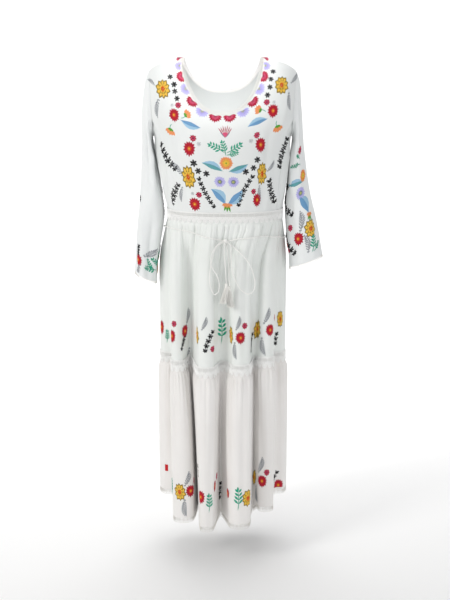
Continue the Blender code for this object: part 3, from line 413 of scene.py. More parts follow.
LEFT_LOOP_ROUTE = (
    (0.0142, -0.1103, -0.5032), (0.0264, -0.1151, -0.5112), (0.0372, -0.1230, -0.5190),
    (0.0481, -0.1288, -0.5281), (0.0590, -0.1300, -0.5389), (0.0688, -0.1312, -0.5508),
    (0.0770, -0.1324, -0.5638), (0.0829, -0.1334, -0.5780), (0.0871, -0.1342, -0.5928),
    (0.0902, -0.1349, -0.6079), (0.0901, -0.1355, -0.6233), (0.0849, -0.1361, -0.6377),
    (0.0713, -0.1366, -0.6440), (0.0576, -0.1370, -0.6375), (0.0472, -0.1372, -0.6262),
    (0.0395, -0.1373, -0.6128), (0.0333, -0.1372, -0.5987), (0.0288, -0.1368, -0.5840),
    (0.0261, -0.1363, -0.5688), (0.0245, -0.1351, -0.5535), (0.0240, -0.1333, -0.5382),
    (0.0234, -0.1292, -0.5233), (0.0224, -0.1217, -0.5099), (0.0138, -0.1148, -0.4998),
)
RIGHT_TAIL_ROUTE = (
    (0.0066, -0.1145, -0.5043), (0.0057, -0.1229, -0.5157), (0.0051, -0.1305, -0.5277),
    (0.0058, -0.1355, -0.5409), (0.0071, -0.1388, -0.5547), (0.0081, -0.1411, -0.5686),
    (0.0091, -0.1422, -0.5827), (0.0099, -0.1430, -0.5968), (0.0106, -0.1437, -0.6110),
)
LEFT_TAIL_ROUTE = (
    (0.0104, -0.1104, -0.5058), (0.0126, -0.1172, -0.5173), (0.0147, -0.1229, -0.5293),
    (0.0163, -0.1263, -0.5423), (0.0175, -0.1283, -0.5556), (0.0181, -0.1296, -0.5690),
    (0.0181, -0.1299, -0.5825), (0.0182, -0.1300, -0.5960), (0.0186, -0.1302, -0.6095),
    (0.0191, -0.1304, -0.6230),
)


def unit(vectors):
    return vectors / np.maximum(np.linalg.norm(vectors, axis=-1, keepdims=True), 1e-12)


def stacked(*coordinates):
    return np.stack(np.broadcast_arrays(*coordinates), axis=-1)


# The forms that the cloth follows. They are the solids' own, but for the bodice's sides and the
# sleeves' inner lines, which lie a few millimetres nearer to each other


def turn_at(x, down):
    """The share of a quarter turn at which the torso's section reaches x: 0 is the centre."""
    across = np.clip(np.abs(x) / TORSO.read("half_width", down), 0, 1)
    return np.sign(x) * np.arcsin(across ** (SQUARENESS / 2)) / (math.pi / 2)


def bodice_pleats(turn, down):
    """Soft pleats that rise from the waist on both sides of the flat centre."""
    height = WAIST_DOWN - WAIST_LACE_ABOVE - np.asarray(down)
    fade = np.clip(height / BODICE_PLEAT_FADE, 0, 1) * np.clip(1 - height / BODICE_PLEAT_HIGH, 0, 1)
    beside = np.exp(-(((np.abs(turn) - BODICE_PLEATS_AT) / BODICE_PLEATS_REACH) ** 2))
    return BODICE_PLEAT_DEPTH * fade * beside * np.cos(math.pi * BODICE_PLEATS / 2 * turn)


def torso_point(side, turn, down, pleated=True):
    """A point of the torso: side is -1 in front and 1 behind, turn runs from -1 to 1."""
    angle = np.asarray(turn, float) * math.pi / 2
    power = 2 / SQUARENESS
    depth = TORSO.read("front_depth" if side < 0 else "back_depth", down)
    out = bodice_pleats(turn, down) if pleated else 0.0
    across = np.sign(angle) * np.abs(np.sin(angle)) ** power
    x = TORSO.read("centre_x", down) + across * (TORSO.read("half_width", down) + out)
    under = np.clip((down - SHOULDER_RIDGE.read("down", np.abs(x))) / SHOULDER_ROUND, 0, 1)
    rounding = np.sqrt(np.clip(1 - (1 - under) ** 2, 0, 1))
    y = side * (depth + out) * np.abs(np.cos(angle)) ** power * rounding
    return stacked(x, y, -np.asarray(down, float))


def torso_at(share, down, pleated=True):
    """The torso walked round: share 0 to 1 is the front from right to left, 1 to 2 the back."""
    share = np.mod(np.asarray(share, float), 2.0)
    front = torso_point(-1, 2 * share - 1, down, pleated)
    back = torso_point(1, 3 - 2 * share, down, pleated)
    return np.where((share <= 1)[..., None], front, back)


def neckline(side, angle, lace=0.0):
    """Turn and level of the neck edge. angle runs from 0 at the centre to a quarter turn."""
    deep = (NECK_FRONT_DOWN if side < 0 else NECK_BACK_DOWN) - lace
    across = np.sign(angle) * np.abs(np.sin(angle)) ** NECK_FULLNESS
    x = (NECK_HALF_WIDTH - lace) * across
    down = deep * np.clip(np.cos(angle), 0, 1) ** NECK_POWER
    return turn_at(x, down), down


def shoulder_seam(share):
    x = NECK_HALF_WIDTH + (TIP_X - NECK_HALF_WIDTH) * share
    down = SHOULDER_RIDGE.read("down", x)
    return turn_at(x, down), down


def armhole(angle):
    """Turn and level of the armhole, from the shoulder tip at 0 to the underarm at pi."""
    share = (1 - np.cos(angle)) / 2
    tip = float(SHOULDER_RIDGE.read("down", TIP_X))
    down = tip + (UNDERARM_DOWN - tip) * share
    x = TIP_X + (UNDERARM_X - TIP_X) * share - ARMHOLE_SCOOP * np.sin(angle) ** 2
    return np.where(share > 0.9999, 1.0, turn_at(x, down)), down


def bodice_columns(side):
    """The columns of half a panel: turn at the waist, and turn and level at the top."""
    neck = np.linspace(0, math.pi / 2, NECK_COLUMNS + 1)
    shoulder = np.linspace(0, 1, SHOULDER_COLUMNS + 1)[1:]
    arm = np.linspace(0, math.pi, ARMHOLE_COLUMNS + 1)[1:]
    tops = [neckline(side, neck), shoulder_seam(shoulder), armhole(arm)]
    waist = np.concatenate(
        [
            NECK_SHARE * neck / (math.pi / 2),
            NECK_SHARE + (SHOULDER_SHARE - NECK_SHARE) * shoulder,
            SHOULDER_SHARE + (1 - SHOULDER_SHARE) * arm / math.pi,
        ]
    )
    return waist, np.concatenate([t[0] for t in tops]), np.concatenate([t[1] for t in tops])


def across_of(turn):
    return np.sin(turn * math.pi / 2) ** (2 / SQUARENESS)


def column_turns(waist, turn_top, down_top, rise, down):
    """The turns down the bodice's columns, straight in x and eased at the side seams."""
    near_side = np.clip((waist - SIDE_EASED_FROM) / 0.20, 0, 1) ** 1.3
    low, high = across_of(waist), across_of(turn_top)
    wide_low = TORSO.read("half_width", WAIST_DOWN - WAIST_LACE_ABOVE)
    wide_high = TORSO.read("half_width", down_top)
    straight = low * wide_low + (high * wide_high - low * wide_low) * rise
    straight = straight / TORSO.read("half_width", down)
    share = straight * (1 - near_side) + (low + (high - low) * rise) * near_side
    return np.arcsin(np.clip(share, 0, 1) ** (SQUARENESS / 2)) / (math.pi / 2)


def bodice_places(side):
    """Share and level of each point of a bodice panel, its rows from the top down."""
    waist, turn_top, down_top = bodice_columns(side)
    lowest = WAIST_DOWN - SEAM_GAP / 2
    flat_top = WAIST_DOWN - WAIST_LACE_ABOVE
    rise = 1 - (1 - np.linspace(0, 1, BODICE_ROWS + 1)[:, None]) ** 1.5
    down = flat_top + (down_top - flat_top) * rise
    turn = np.vstack([waist, column_turns(waist, turn_top, down_top, rise, down)])[::-1]
    down = np.vstack([np.full_like(waist, lowest), down])[::-1]
    turn = np.concatenate([-turn[:, :0:-1], turn], axis=1)
    down = np.concatenate([down[:, :0:-1], down], axis=1)
    share = (1 + turn) / 2 if side < 0 else (3 + turn) / 2
    return share, down


def sleeve_ring(row, hand, angle):
    """The plain slanting ring of a sleeve with the sizes of a row of its table."""
    middle_x, half_x = (row["outer_x"] + row["inner_x"]) / 2, (row["outer_x"] - row["inner_x"]) / 2
    middle_down = (row["outer_down"] + row["inner_down"]) / 2
    half_down = (row["outer_down"] - row["inner_down"]) / 2
    x = hand * (middle_x + half_x * np.cos(angle))
    z = -(middle_down + half_down * np.cos(angle))
    return stacked(x, row["centre_y"] - row["half_depth"] * np.sin(angle), z)


def sleeve_at(table, hand, turn, share):
    """A point of a sleeve: turn runs from 0 at the outer line to 1 round the arm."""
    angle = hand * -2 * math.pi * np.asarray(turn, float)
    ring = sleeve_ring(table.row(share), hand, angle)
    pulled = np.clip(1 - share / ARMHOLE_REACH, 0, 1) ** 2
    return ring + armhole_pull(table, hand, angle) * pulled[..., None]


def armhole_pull(table, hand, angle):
    """From the sleeve's plain first ring to the armhole that it is sewn into."""
    around = np.mod(angle, 2 * math.pi)
    turn, down = armhole(np.where(around <= math.pi, around, 2 * math.pi - around))
    front, back = (torso_point(side, hand * turn, down) for side in (-1, 1))
    seam = np.where((np.sin(angle) >= 0)[..., None], front, back)
    return seam - sleeve_ring(table.row(0.0), hand, angle)


def crest_points(row):
    """The points of one fold as it is walked round: flank, crest, flank and valley."""
    _, x, y, facing, half_width, valley_x, valley_y, down = row
    angle = math.radians(facing)
    outward = np.array([math.cos(angle), math.sin(angle)])
    along = np.array([-math.sin(angle), math.cos(angle)])
    crest = np.array([x, y])
    steps = ((-1.0, 1.00), (-0.80, 0.34), (0.0, 0.0), (0.80, 0.34), (1.0, 1.00))
    places = [crest + half_width * (a * along - b * outward) for a, b in steps]
    valley = np.array([valley_x, valley_y, down - VALLEY_LIFT])
    return [np.append(p, down) for p in places] + [valley]


def fold_ring(folds):
    return np.roll(np.array([p for row in folds for p in crest_points(row)]), -2, axis=0)


TIER_RING = fold_ring(FOLDS_AT_TIER)
HEM_RING = fold_ring(FOLDS_AT_HEM)
LEFT_CREST = 6 * [row[0] for row in FOLDS_AT_TIER].index("left_side")


def walked(ring):
    return np.linalg.norm(np.diff(ring[:, :2], axis=0, append=ring[:1, :2]), axis=1)


def ring_knots():
    """The share at each control point of the fold rings."""
    steps = walked(TIER_RING) + walked(HEM_RING)
    along = np.concatenate([[0], np.cumsum(steps)])
    at_left = along[LEFT_CREST]
    front = along[: LEFT_CREST + 1] / at_left
    back = 1 + (along[LEFT_CREST + 1 :] - at_left) / (along[-1] - at_left)
    return np.concatenate([front, back])


KNOTS = ring_knots()


def through(ring, share):
    """The ring's smooth curve at a share, as x, y and level."""
    share = np.mod(np.asarray(share, float), 2.0)
    count = len(ring)
    i = np.clip(np.searchsorted(KNOTS, share, side="right") - 1, 0, count - 1)
    step = np.diff(KNOTS)
    before, here, after = step[(i - 1) % count], step[i], step[(i + 1) % count]
    p0, p1, p2, p3 = (ring[(i + k) % count] for k in (-1, 0, 1, 2))

    def slope(a, b, c, left, right):
        left, right = left[..., None], right[..., None]
        return ((b - a) / left * right + (c - b) / right * left) / (left + right)

    start = slope(p0, p1, p2, before, here) * here[..., None]
    end = slope(p1, p2, p3, here, after) * here[..., None]
    t = ((share - KNOTS[i]) / here)[..., None]
    return (
        p1 * (1 + 2 * t) * (1 - t) ** 2
        + start * t * (1 - t) ** 2
        + p2 * t * t * (3 - 2 * t)
        - end * t * t * (1 - t)
    )


def out_of_valleys(share, reach):
    """0 in the bottoms of the valleys between the large folds, and 1 away from them."""
    off = np.abs(np.mod(np.asarray(share)[..., None] - KNOTS[3::6] + 1, 2) - 1).min(axis=-1)
    return np.clip(off / reach, 0, 1)


def tier_at(share, fall):
    """The first tier without its gathers: fall is 0 at the waist and 1 at the tier seam."""
    share, fall = np.broadcast_arrays(np.asarray(share, float), np.asarray(fall, float))
    waist, tier = torso_at(share, WAIST_DOWN, pleated=False), through(TIER_RING, share)
    slow = VALLEY_SLOWNESS * (1 - out_of_valleys(share, VALLEY_REACH))
    fallen = np.clip(fall, 0, None)
    opened = (1 - np.exp(-((fallen / SKIRT_OPENING) ** 2))) * (1 - slow) + fallen**1.3 * slow
    opened = opened[..., None]
    xy = waist[..., :2] * (1 - opened) + tier[..., :2] * opened
    down = WAIST_DOWN + (tier[..., 2] - WAIST_DOWN) * fall
    return np.concatenate([xy, -down[..., None]], axis=-1)


def flounce_at(share, fall):
    """The flounce without its gathers: fall is 0 at the tier seam and 1 at the hem."""
    share, fall = np.broadcast_arrays(np.asarray(share, float), np.asarray(fall, float))
    tier, hem = through(TIER_RING, share), through(HEM_RING, share)
    opened = (1 - (1 - np.clip(fall, 0, 1)) ** 1.5)[..., None]
    xy = tier[..., :2] * (1 - opened) + hem[..., :2] * opened
    down = tier[..., 2] + (hem[..., 2] - tier[..., 2]) * fall
    return np.concatenate([xy, -down[..., None]], axis=-1)


def tier_long(share):
    return through(TIER_RING, share)[..., 2] - WAIST_DOWN


def flounce_long(share):
    return through(HEM_RING, share)[..., 2] - through(TIER_RING, share)[..., 2]


# Creases and gathers, placed by hand


def creased(rows, metric, deeper):
    """Relief of soft ridges and troughs. A row is the two ends' p and q, a half width and a
    height in metres, and metric turns p and q to metres."""

    def relief(p, q):
        x, y = p * metric[0], q * metric[1]
        out = np.zeros(np.broadcast(x, y).shape)
        for p0, q0, p1, q1, wide, high in rows:
            start = np.array([p0 * metric[0], q0 * metric[1]])
            way = np.array([p1 * metric[0], q1 * metric[1]]) - start
            t = ((x - start[0]) * way[0] + (y - start[1]) * way[1]) / (way @ way)
            off = (x - start[0] - t * way[0]) ** 2 + (y - start[1] - t * way[1]) ** 2
            out = out + deeper * high * np.exp(-off / wide**2) * np.clip(4 * t * (1 - t), 0, 1)
        return out

    return relief


class Gathers:
    """Uneven gathers that hang from a seam: each has its own place, height and length."""

    def __init__(self, pitch, height, length, seed, placed=()):
        pick = np.random.default_rng(seed)
        placed = sorted(placed)
        free = [0.0] if not placed else [placed[-1]]
        end = 2.0 if not placed else 2.0 + placed[0]
        while free[-1] < end:
            free.append(free[-1] + pitch * (0.65 + 0.7 * pick.random()))
        free = np.array(free[:-1])
        if len(free) > 1:
            free = free[0] + (free - free[0]) * (end - free[0]) / (free[-1] + pitch - free[0])
        places = np.concatenate([placed, free[1:] if placed else free])
        places = np.mod(places, 2.0)
        self.places = np.sort(places)
        count = len(self.places)
        self.height = height * (0.55 + 0.9 * pick.random(count))
        self.length = length * (0.5 + pick.random(count))

    def read(self, share, distance):
        """Their relief at a share and a distance below the seam."""
        share = np.mod(share, 2.0)
        places = np.concatenate([[self.places[-1] - 2], self.places, [self.places[0] + 2]])
        height = np.concatenate([self.height[-1:], self.height, self.height[:1]])
        length = np.concatenate([self.length[-1:], self.length, self.length[:1]])
        i = np.clip(np.searchsorted(places, share, side="right") - 1, 0, len(places) - 2)
        t = (share - places[i]) / (places[i + 1] - places[i])
        high = height[i] * (1 - t) + height[i + 1] * t
        long = length[i] * (1 - t) + length[i + 1] * t
        rise = np.clip(distance / GATHER_START, 0, 1)
        fade = rise * np.exp(-np.clip(distance - GATHER_START, 0, None) / long)
        return high * fade * (2.2 * np.abs(np.cos(math.pi * t)) ** 0.8 - 1.5)


WAIST_RIDGES_X = (
    -0.134, -0.120, -0.105, -0.086, -0.068, -0.051, -0.032, -0.022, -0.002, 0.017, 0.026,
    0.042, 0.060, 0.079, 0.106, 0.126,
)
WAIST_GATHERS = Gathers(
    0.046, 0.0030, 0.15, 11,
    [0.5 + float(turn_at(x - 0.007, WAIST_DOWN)) / 2 for x in WAIST_RIDGES_X],
)
WAIST_SMALL = Gathers(0.021, 0.0011, 0.055, 12)
FLOUNCE_GATHERS = Gathers(0.0125, 0.0019, 0.075, 13)
FLOUNCE_LARGE = Gathers(0.046, 0.0030, 0.20, 14)

# share and fall at the two ends, half width, height
TIER_CREASES = creased(
    (
        (0.15, 0.10, 0.13, 0.95, 0.010, 0.0030),
        (0.235, 0.15, 0.222, 1.20, 0.012, -0.0030),
        (0.31, 0.05, 0.30, 0.85, 0.009, 0.0026),
        (0.37, 0.10, 0.375, 0.90, 0.008, -0.0026),
        (0.44, 0.02, 0.455, 0.80, 0.009, 0.0026),
        (0.58, 0.00, 0.60, 0.75, 0.010, 0.0030),
        (0.66, 0.10, 0.655, 1.15, 0.010, -0.0030),
        (0.78, 0.05, 0.76, 0.85, 0.009, 0.0026),
        (0.92, 0.10, 0.93, 0.95, 0.010, 0.0026),
        (1.12, 0.05, 1.13, 0.90, 0.010, 0.0026),
        (1.25, 0.10, 1.24, 1.10, 0.010, -0.0030),
        (1.40, 0.02, 1.41, 0.80, 0.009, 0.0028),
        (1.50, 0.10, 1.49, 1.10, 0.010, 0.0026),
        (1.66, 0.05, 1.68, 0.90, 0.010, 0.0028),
        (1.80, 0.10, 1.79, 1.10, 0.010, -0.0028),
        (1.91, 0.05, 1.92, 0.85, 0.009, 0.0026),
    ),
    (0.62, 0.44),
    1.5,
)
FLOUNCE_CREASES = creased(
    (
        (0.045, 0.00, 0.060, 1.10, 0.010, 0.0026),
        (0.195, -0.10, 0.165, 0.85, 0.009, -0.0030),
        (0.240, 0.05, 0.215, 1.20, 0.012, 0.0036),
        (0.385, -0.05, 0.405, 0.75, 0.008, 0.0028),
        (0.455, 0.00, 0.440, 1.20, 0.010, -0.0030),
        (0.575, -0.10, 0.600, 0.95, 0.011, 0.0030),
        (0.645, 0.00, 0.665, 1.15, 0.012, -0.0036),
        (0.765, -0.10, 0.740, 1.00, 0.008, 0.0034),
        (0.800, 0.05, 0.825, 0.90, 0.010, -0.0028),
        (0.930, 0.00, 0.945, 1.10, 0.010, 0.0026),
        (1.090, 0.00, 1.075, 1.10, 0.010, 0.0030),
        (1.210, -0.10, 1.240, 0.90, 0.010, -0.0030),
        (1.330, 0.00, 1.310, 1.20, 0.010, 0.0032),
        (1.450, -0.05, 1.470, 0.90, 0.009, 0.0028),
        (1.560, 0.00, 1.540, 1.20, 0.011, -0.0032),
        (1.690, -0.10, 1.715, 0.95, 0.010, 0.0030),
        (1.860, 0.00, 1.840, 1.10, 0.010, 0.0030),
        (1.950, -0.05, 1.965, 0.90, 0.010, -0.0026),
    ),
    (0.80, 0.46),
    1.4,
)
BODICE_CREASES = creased(
    (
        (0.100, 0.120, 0.160, 0.250, 0.009, -0.0022),
        (0.130, 0.150, 0.200, 0.300, 0.008, 0.0020),
        (0.070, 0.200, 0.110, 0.400, 0.009, 0.0022),
        (0.150, 0.260, 0.140, 0.430, 0.007, -0.0020),
        (0.200, 0.040, 0.230, 0.200, 0.010, 0.0018),
        (0.280, 0.160, 0.290, 0.330, 0.008, -0.0014),
        (0.720, 0.150, 0.705, 0.340, 0.008, -0.0014),
        (0.790, 0.050, 0.770, 0.220, 0.010, 0.0018),
        (0.855, 0.255, 0.850, 0.430, 0.007, -0.0020),
        (0.900, 0.120, 0.840, 0.260, 0.009, -0.0022),
        (0.870, 0.150, 0.800, 0.300, 0.008, 0.0020),
        (0.935, 0.210, 0.900, 0.400, 0.009, 0.0022),
        (1.090, 0.130, 1.150, 0.280, 0.009, -0.0022),
        (1.160, 0.240, 1.150, 0.430, 0.008, 0.0022),
        (1.320, 0.120, 1.340, 0.380, 0.010, 0.0018),
        (1.500, 0.140, 1.490, 0.400, 0.010, -0.0018),
        (1.670, 0.120, 1.660, 0.380, 0.010, 0.0018),
        (1.850, 0.240, 1.860, 0.430, 0.008, 0.0022),
        (1.910, 0.130, 1.850, 0.280, 0.009, -0.0022),
    ),
    (0.46, 1.0),
    2.5,
)
# turn and share at the two ends, half width, height
SLEEVE_CREASES = creased(
    (
        (0.10, 0.05, 0.17, 0.42, 0.010, 0.0026),
        (0.20, 0.10, 0.26, 0.55, 0.009, -0.0026),
        (0.31, 0.16, 0.30, 0.62, 0.010, 0.0030),
        (0.40, 0.22, 0.37, 0.50, 0.008, -0.0026),
        (0.36, 0.30, 0.22, 0.46, 0.008, 0.0018),
        (0.12, 0.55, 0.20, 1.05, 0.011, 0.0028),
        (0.27, 0.60, 0.31, 1.10, 0.010, -0.0028),
        (0.36, 0.66, 0.40, 1.05, 0.010, 0.0026),
        (0.08, 0.71, 0.40, 0.735, 0.005, -0.0014),
        (0.60, 0.20, 0.68, 0.60, 0.010, 0.0028),
        (0.72, 0.10, 0.76, 0.45, 0.009, -0.0024),
        (0.66, 0.55, 0.62, 1.05, 0.010, -0.0028),
        (0.80, 0.55, 0.84, 1.05, 0.011, 0.0028),
        (0.92, 0.15, 0.90, 0.80, 0.010, 0.0022),
        (0.50, 0.35, 0.52, 0.85, 0.009, -0.0024),
    ),
    (0.24, 0.60),
    2.3,
)


def tier_relief(share, fall):
    distance = np.clip(fall, 0, 1) * tier_long(share) - WAIST_LACE_BELOW
    calm = out_of_valleys(share, VALLEY_CALM)
    from_seam = np.clip((1 - fall) / TIER_FLATTENED, 0, 1)
    gathers = WAIST_GATHERS.read(share, distance) + WAIST_SMALL.read(share, distance)
    below = np.clip(distance / CREASE_START, 0, 1)
    return (gathers + TIER_CREASES(share, fall) * below) * calm * from_seam


def flounce_relief(share, fall):
    distance = np.clip(fall, 0, 1) * flounce_long(share) - TIER_LACE_BELOW
    below = np.clip(distance, 0, None)
    calm = out_of_valleys(share, VALLEY_CALM)
    puff = FLOUNCE_PUFF * (1 - np.exp(-below / PUFF_RISE)) * (1 - fall)
    gathers = FLOUNCE_GATHERS.read(share, distance) + FLOUNCE_LARGE.read(share, distance)
    soft = FLOUNCE_CREASES(share, fall) * np.clip(below / CREASE_START, 0, 1)
    return (gathers + puff + soft) * calm


class Surface:
    """A form given by p round it and q down it, and the relief that stands on it."""

    def __init__(self, base, relief, steps):
        self.base, self.relief, self.steps = base, relief, steps

    def normals(self, form, p, q):
        across = form(p + self.steps[0], q) - form(p - self.steps[0], q)
        down = form(p, q + self.steps[1]) - form(p, q - self.steps[1])
        return unit(np.cross(down, across))

    def at(self, p, q):
        p, q = np.broadcast_arrays(np.asarray(p, float), np.asarray(q, float))
        return self.base(p, q) + self.normals(self.base, p, q) * self.relief(p, q)[..., None]

    def both(self, p, q):
        """Points and outward normals of the finished surface."""
        p, q = np.broadcast_arrays(np.asarray(p, float), np.asarray(q, float))
        return self.at(p, q), self.normals(self.at, p, q)


BODICE = Surface(torso_at, BODICE_CREASES, (0.002, 0.001))
TIER = Surface(tier_at, tier_relief, (0.0008, 0.001))
FLOUNCE = Surface(flounce_at, flounce_relief, (0.0008, 0.001))
SLEEVES = {
    name: Surface(functools.partial(sleeve_at, table, hand), SLEEVE_CREASES, (0.002, 0.002))
    for name, table, hand in (("right", RIGHT_SLEEVE, -1), ("left", LEFT_SLEEVE, 1))
}


def grid_normals(points, closed):
    """Outward normals of a grid whose columns run round the dress and whose rows run down."""
    if closed:
        along = np.roll(points, -1, axis=1) - np.roll(points, 1, axis=1)
    else:
        along = np.gradient(points, axis=1)
    return unit(np.cross(np.gradient(points, axis=0), along))


# Colours, materials and meshes


def linear(code):
    """An sRGB hex colour as linear numbers."""
    values = [int(code[k : k + 2], 16) / 255 for k in (1, 3, 5)]
    return [v / 12.92 if v <= 0.04045 else ((v + 0.055) / 1.055) ** 2.4 for v in values]


def add_node(tree, kind, inputs=None, **settings):
    """A new node with its settings, and its inputs set to values or linked to sockets."""
    made = tree.nodes.new(kind)
    for name, value in settings.items():
        setattr(made, name, value)
    for key, value in (inputs or {}).items():
        if isinstance(value, bpy.types.NodeSocket):
            tree.links.new(value, made.inputs[key])
        else:
            made.inputs[key].default_value = value
    return made


def shader_of(name, roughness, sheen, sheen_roughness=0.4):
    """A new material, its node tree and its shader."""
    material = bpy.data.materials.new(name)
    material.use_nodes = True
    shader = material.node_tree.nodes["Principled BSDF"]
    shader.inputs["Roughness"].default_value = roughness
    shader.inputs["Metallic"].default_value = 0.0
    shader.inputs["IOR"].default_value = 1.5
    shader.inputs["Specular IOR Level"].default_value = 0.3
    shader.inputs["Sheen Weight"].default_value = sheen
    shader.inputs["Sheen Roughness"].default_value = sheen_roughness
    return material, material.node_tree, shader


def noise(tree, place, scale, detail, roughness=0.5):
    inputs = {"Vector": place, "Scale": scale, "Detail": detail, "Roughness": roughness}
    return add_node(tree, "ShaderNodeTexNoise", inputs).outputs["Fac"]


def mottled(tree, shader, factor, light, shade):
    """Gives a shader a colour that goes from one to another with a factor."""
    inputs = {"Factor": factor, "A": (*linear(shade), 1), "B": (*linear(light), 1)}
    mixed = add_node(tree, "ShaderNodeMix", inputs, data_type="RGBA")
    colour = [s for s in mixed.outputs if s.type == "RGBA"][0]
    tree.links.new(colour, shader.inputs["Base Color"])


def bumped(tree, shader, height, strength, distance):
    inputs = {"Height": height, "Strength": strength, "Distance": distance}
    bump = add_node(tree, "ShaderNodeBump", inputs)
    tree.links.new(bump.outputs["Normal"], shader.inputs["Normal"])


def crepe(name, light, shade):
    """Viscose crepe, woven of tightly twisted yarn: a matte, slightly uneven white whose fine
    crinkle keeps it from shining, with faint clouds of colour where the cloth is denser."""
    material, tree, shader = shader_of(name, 0.82, 0.25)
    place = add_node(tree, "ShaderNodeTexCoord").outputs["Object"]
    mottled(tree, shader, noise(tree, place, 9.0, 3.0), light, shade)
    thread = add_node(tree, "ShaderNodeMapping", {"Vector": place, "Scale": (1.0, 1.0, 0.35)})
    # Crinkle of about 1.5 mm, which is coarser than the real 0.4 mm so that it shows
    crinkle = noise(tree, thread.outputs["Vector"], 650.0, 2.0, 0.6)
    bumped(tree, shader, crinkle, 0.22, 0.0006)
    return material


def cotton(name, light, shade, scale, depth):
    """Twisted cotton yarn, of crochet lace and cord: matte and a little fuzzy, with the twist's
    small ridges across it."""
    material, tree, shader = shader_of(name, 0.88, 0.35, 0.5)
    place = add_node(tree, "ShaderNodeTexCoord").outputs["Object"]
    fuzz = noise(tree, place, scale, 3.0)
    mottled(tree, shader, fuzz, light, shade)
    bumped(tree, shader, fuzz, 0.5, depth)
    return material


def floss(name, code):
    """Stranded embroidery floss, laid side by side: a soft shine along fine parallel threads."""
    material, tree, shader = shader_of(f"{name}_floss", 0.55, 0.05, 0.3)
    shader.inputs["Base Color"].default_value = (*linear(code), 1.0)
    # Threads 0.8 mm apart, which is coarser than the real 0.4 mm so that they show
    inputs = {"Vector": add_node(tree, "ShaderNodeTexCoord").outputs["UV"], "Scale": 393.0}
    threads = add_node(tree, "ShaderNodeTexWave", inputs, bands_direction="Y").outputs["Fac"]
    bumped(tree, shader, threads, 0.35, 0.0002)
    return material


def placed(name, mesh, materials):
    for material in materials:
        mesh.materials.append(material)
    mesh.shade_smooth()
    mesh.set_sharp_from_angle(angle=math.radians(55))
    made = bpy.data.objects.new(name, mesh)
    bpy.context.scene.collection.objects.link(made)
    return made


def cloth_wall(name, outer, normals, thick, closed, material):
    """Cloth with its outer side on a grid of points, a thin inner side and closed rims."""
    rows, columns = outer.shape[:2]
    number = np.arange(rows * columns).reshape(rows, columns)
    here = number if closed else number[:, :-1]
    ahead = np.roll(number, -1, axis=1) if closed else number[:, 1:]
    inside = rows * columns
    a, b, c, d = here[:-1], ahead[:-1], ahead[1:], here[1:]
    faces = [
        stacked(a, d, c, b).reshape(-1, 4),
        stacked(a, b, c, d).reshape(-1, 4) + inside,
        stacked(here[0], ahead[0], ahead[0] + inside, here[0] + inside),
        stacked(here[-1], here[-1] + inside, ahead[-1] + inside, ahead[-1]),
    ]
    if not closed:
        first, last = number[:, 0], number[:, -1]
        faces.append(stacked(first[:-1], first[:-1] + inside, first[1:] + inside, first[1:]))
        faces.append(stacked(last[:-1], last[1:], last[1:] + inside, last[:-1] + inside))
    points = np.concatenate([outer.reshape(-1, 3), (outer - normals * thick).reshape(-1, 3)])
    mesh = bpy.data.meshes.new(name)
    mesh.from_pydata(points.tolist(), [], np.concatenate(faces).tolist())
    mesh.update()
    return placed(name, mesh, [material])


def socket_name(tree, label):
    """The identifier of a node tree's named input."""
    return next(
        item.identifier
        for item in tree.interface.items_tree
        if item.item_type == "SOCKET" and item.in_out == "INPUT" and item.name == label
    )


def new_tree(name, sockets):
    """A geometry node tree with named inputs. Returns it and its input node's sockets."""
    tree = bpy.data.node_groups.new(name, "GeometryNodeTree")
    add = tree.interface.new_socket
    add("Geometry", in_out="INPUT", socket_type="NodeSocketGeometry")
    for label, kind, value in sockets:
        add(label, in_out="INPUT", socket_type=f"NodeSocket{kind}").default_value = value
    add("Material", in_out="INPUT", socket_type="NodeSocketMaterial")
    add("Geometry", in_out="OUTPUT", socket_type="NodeSocketGeometry")
    return tree, tree.nodes.new("NodeGroupInput").outputs


def makers(tree):
    """Two short calls, for any node and for a Math node. Both return the first output."""

    def made(kind, inputs=None, **settings):
        return add_node(tree, kind, inputs, **settings).outputs[0]

    def maths(operation, *values):
        return made("ShaderNodeMath", dict(enumerate(values)), operation=operation)

    return made, maths


def swept(tree, path, profile):
    """Tubes with closed ends along curves."""
    inputs = {"Curve": path, "Profile Curve": profile, "Fill Caps": True}
    return add_node(tree, "GeometryNodeCurveToMesh", inputs).outputs[0]


def end_tree(tree, given, geometry):
    """Ends a tree in Realize Instances and Set Material."""
    real = add_node(tree, "GeometryNodeRealizeInstances", {"Geometry": geometry})
    inputs = {"Geometry": real.outputs[0], "Material": given["Material"]}
    finish = add_node(tree, "GeometryNodeSetMaterial", inputs)
    add_node(tree, "NodeGroupOutput", {0: finish.outputs[0]})


def from_tree(data, tree, values):
    """The plain mesh that a tree makes of a mesh or curve."""
    carrier = bpy.data.objects.new("carrier", data)
    bpy.context.scene.collection.objects.link(carrier)
    modifier = carrier.modifiers.new("nodes", "NODES")
    modifier.node_group = tree
    for label, value in values.items():
        modifier[socket_name(tree, label)] = value
    carrier.update_tag()
    bpy.context.view_layer.update()
    ready = bpy.context.evaluated_depsgraph_get()
    mesh = bpy.data.meshes.new_from_object(carrier.evaluated_get(ready))
    bpy.data.objects.remove(carrier)
    return mesh


def points_of(mesh):
    points = np.zeros(len(mesh.vertices) * 3)
    mesh.vertices.foreach_get("co", points)
    return points.reshape(-1, 3)


def moved(mesh, points):
    mesh.vertices.foreach_set("co", np.asarray(points, np.float32).ravel())
    mesh.update()


# Lace: one repeat of threads, repeated along a band by a node tree and laid on its surface


def arc(centre, radius, start, end, count, squash=1.0):
    angles = np.radians(np.linspace(start, end, count))
    return stacked(
        centre[0] + radius * np.cos(angles), centre[1] + radius * squash * np.sin(angles)
    )


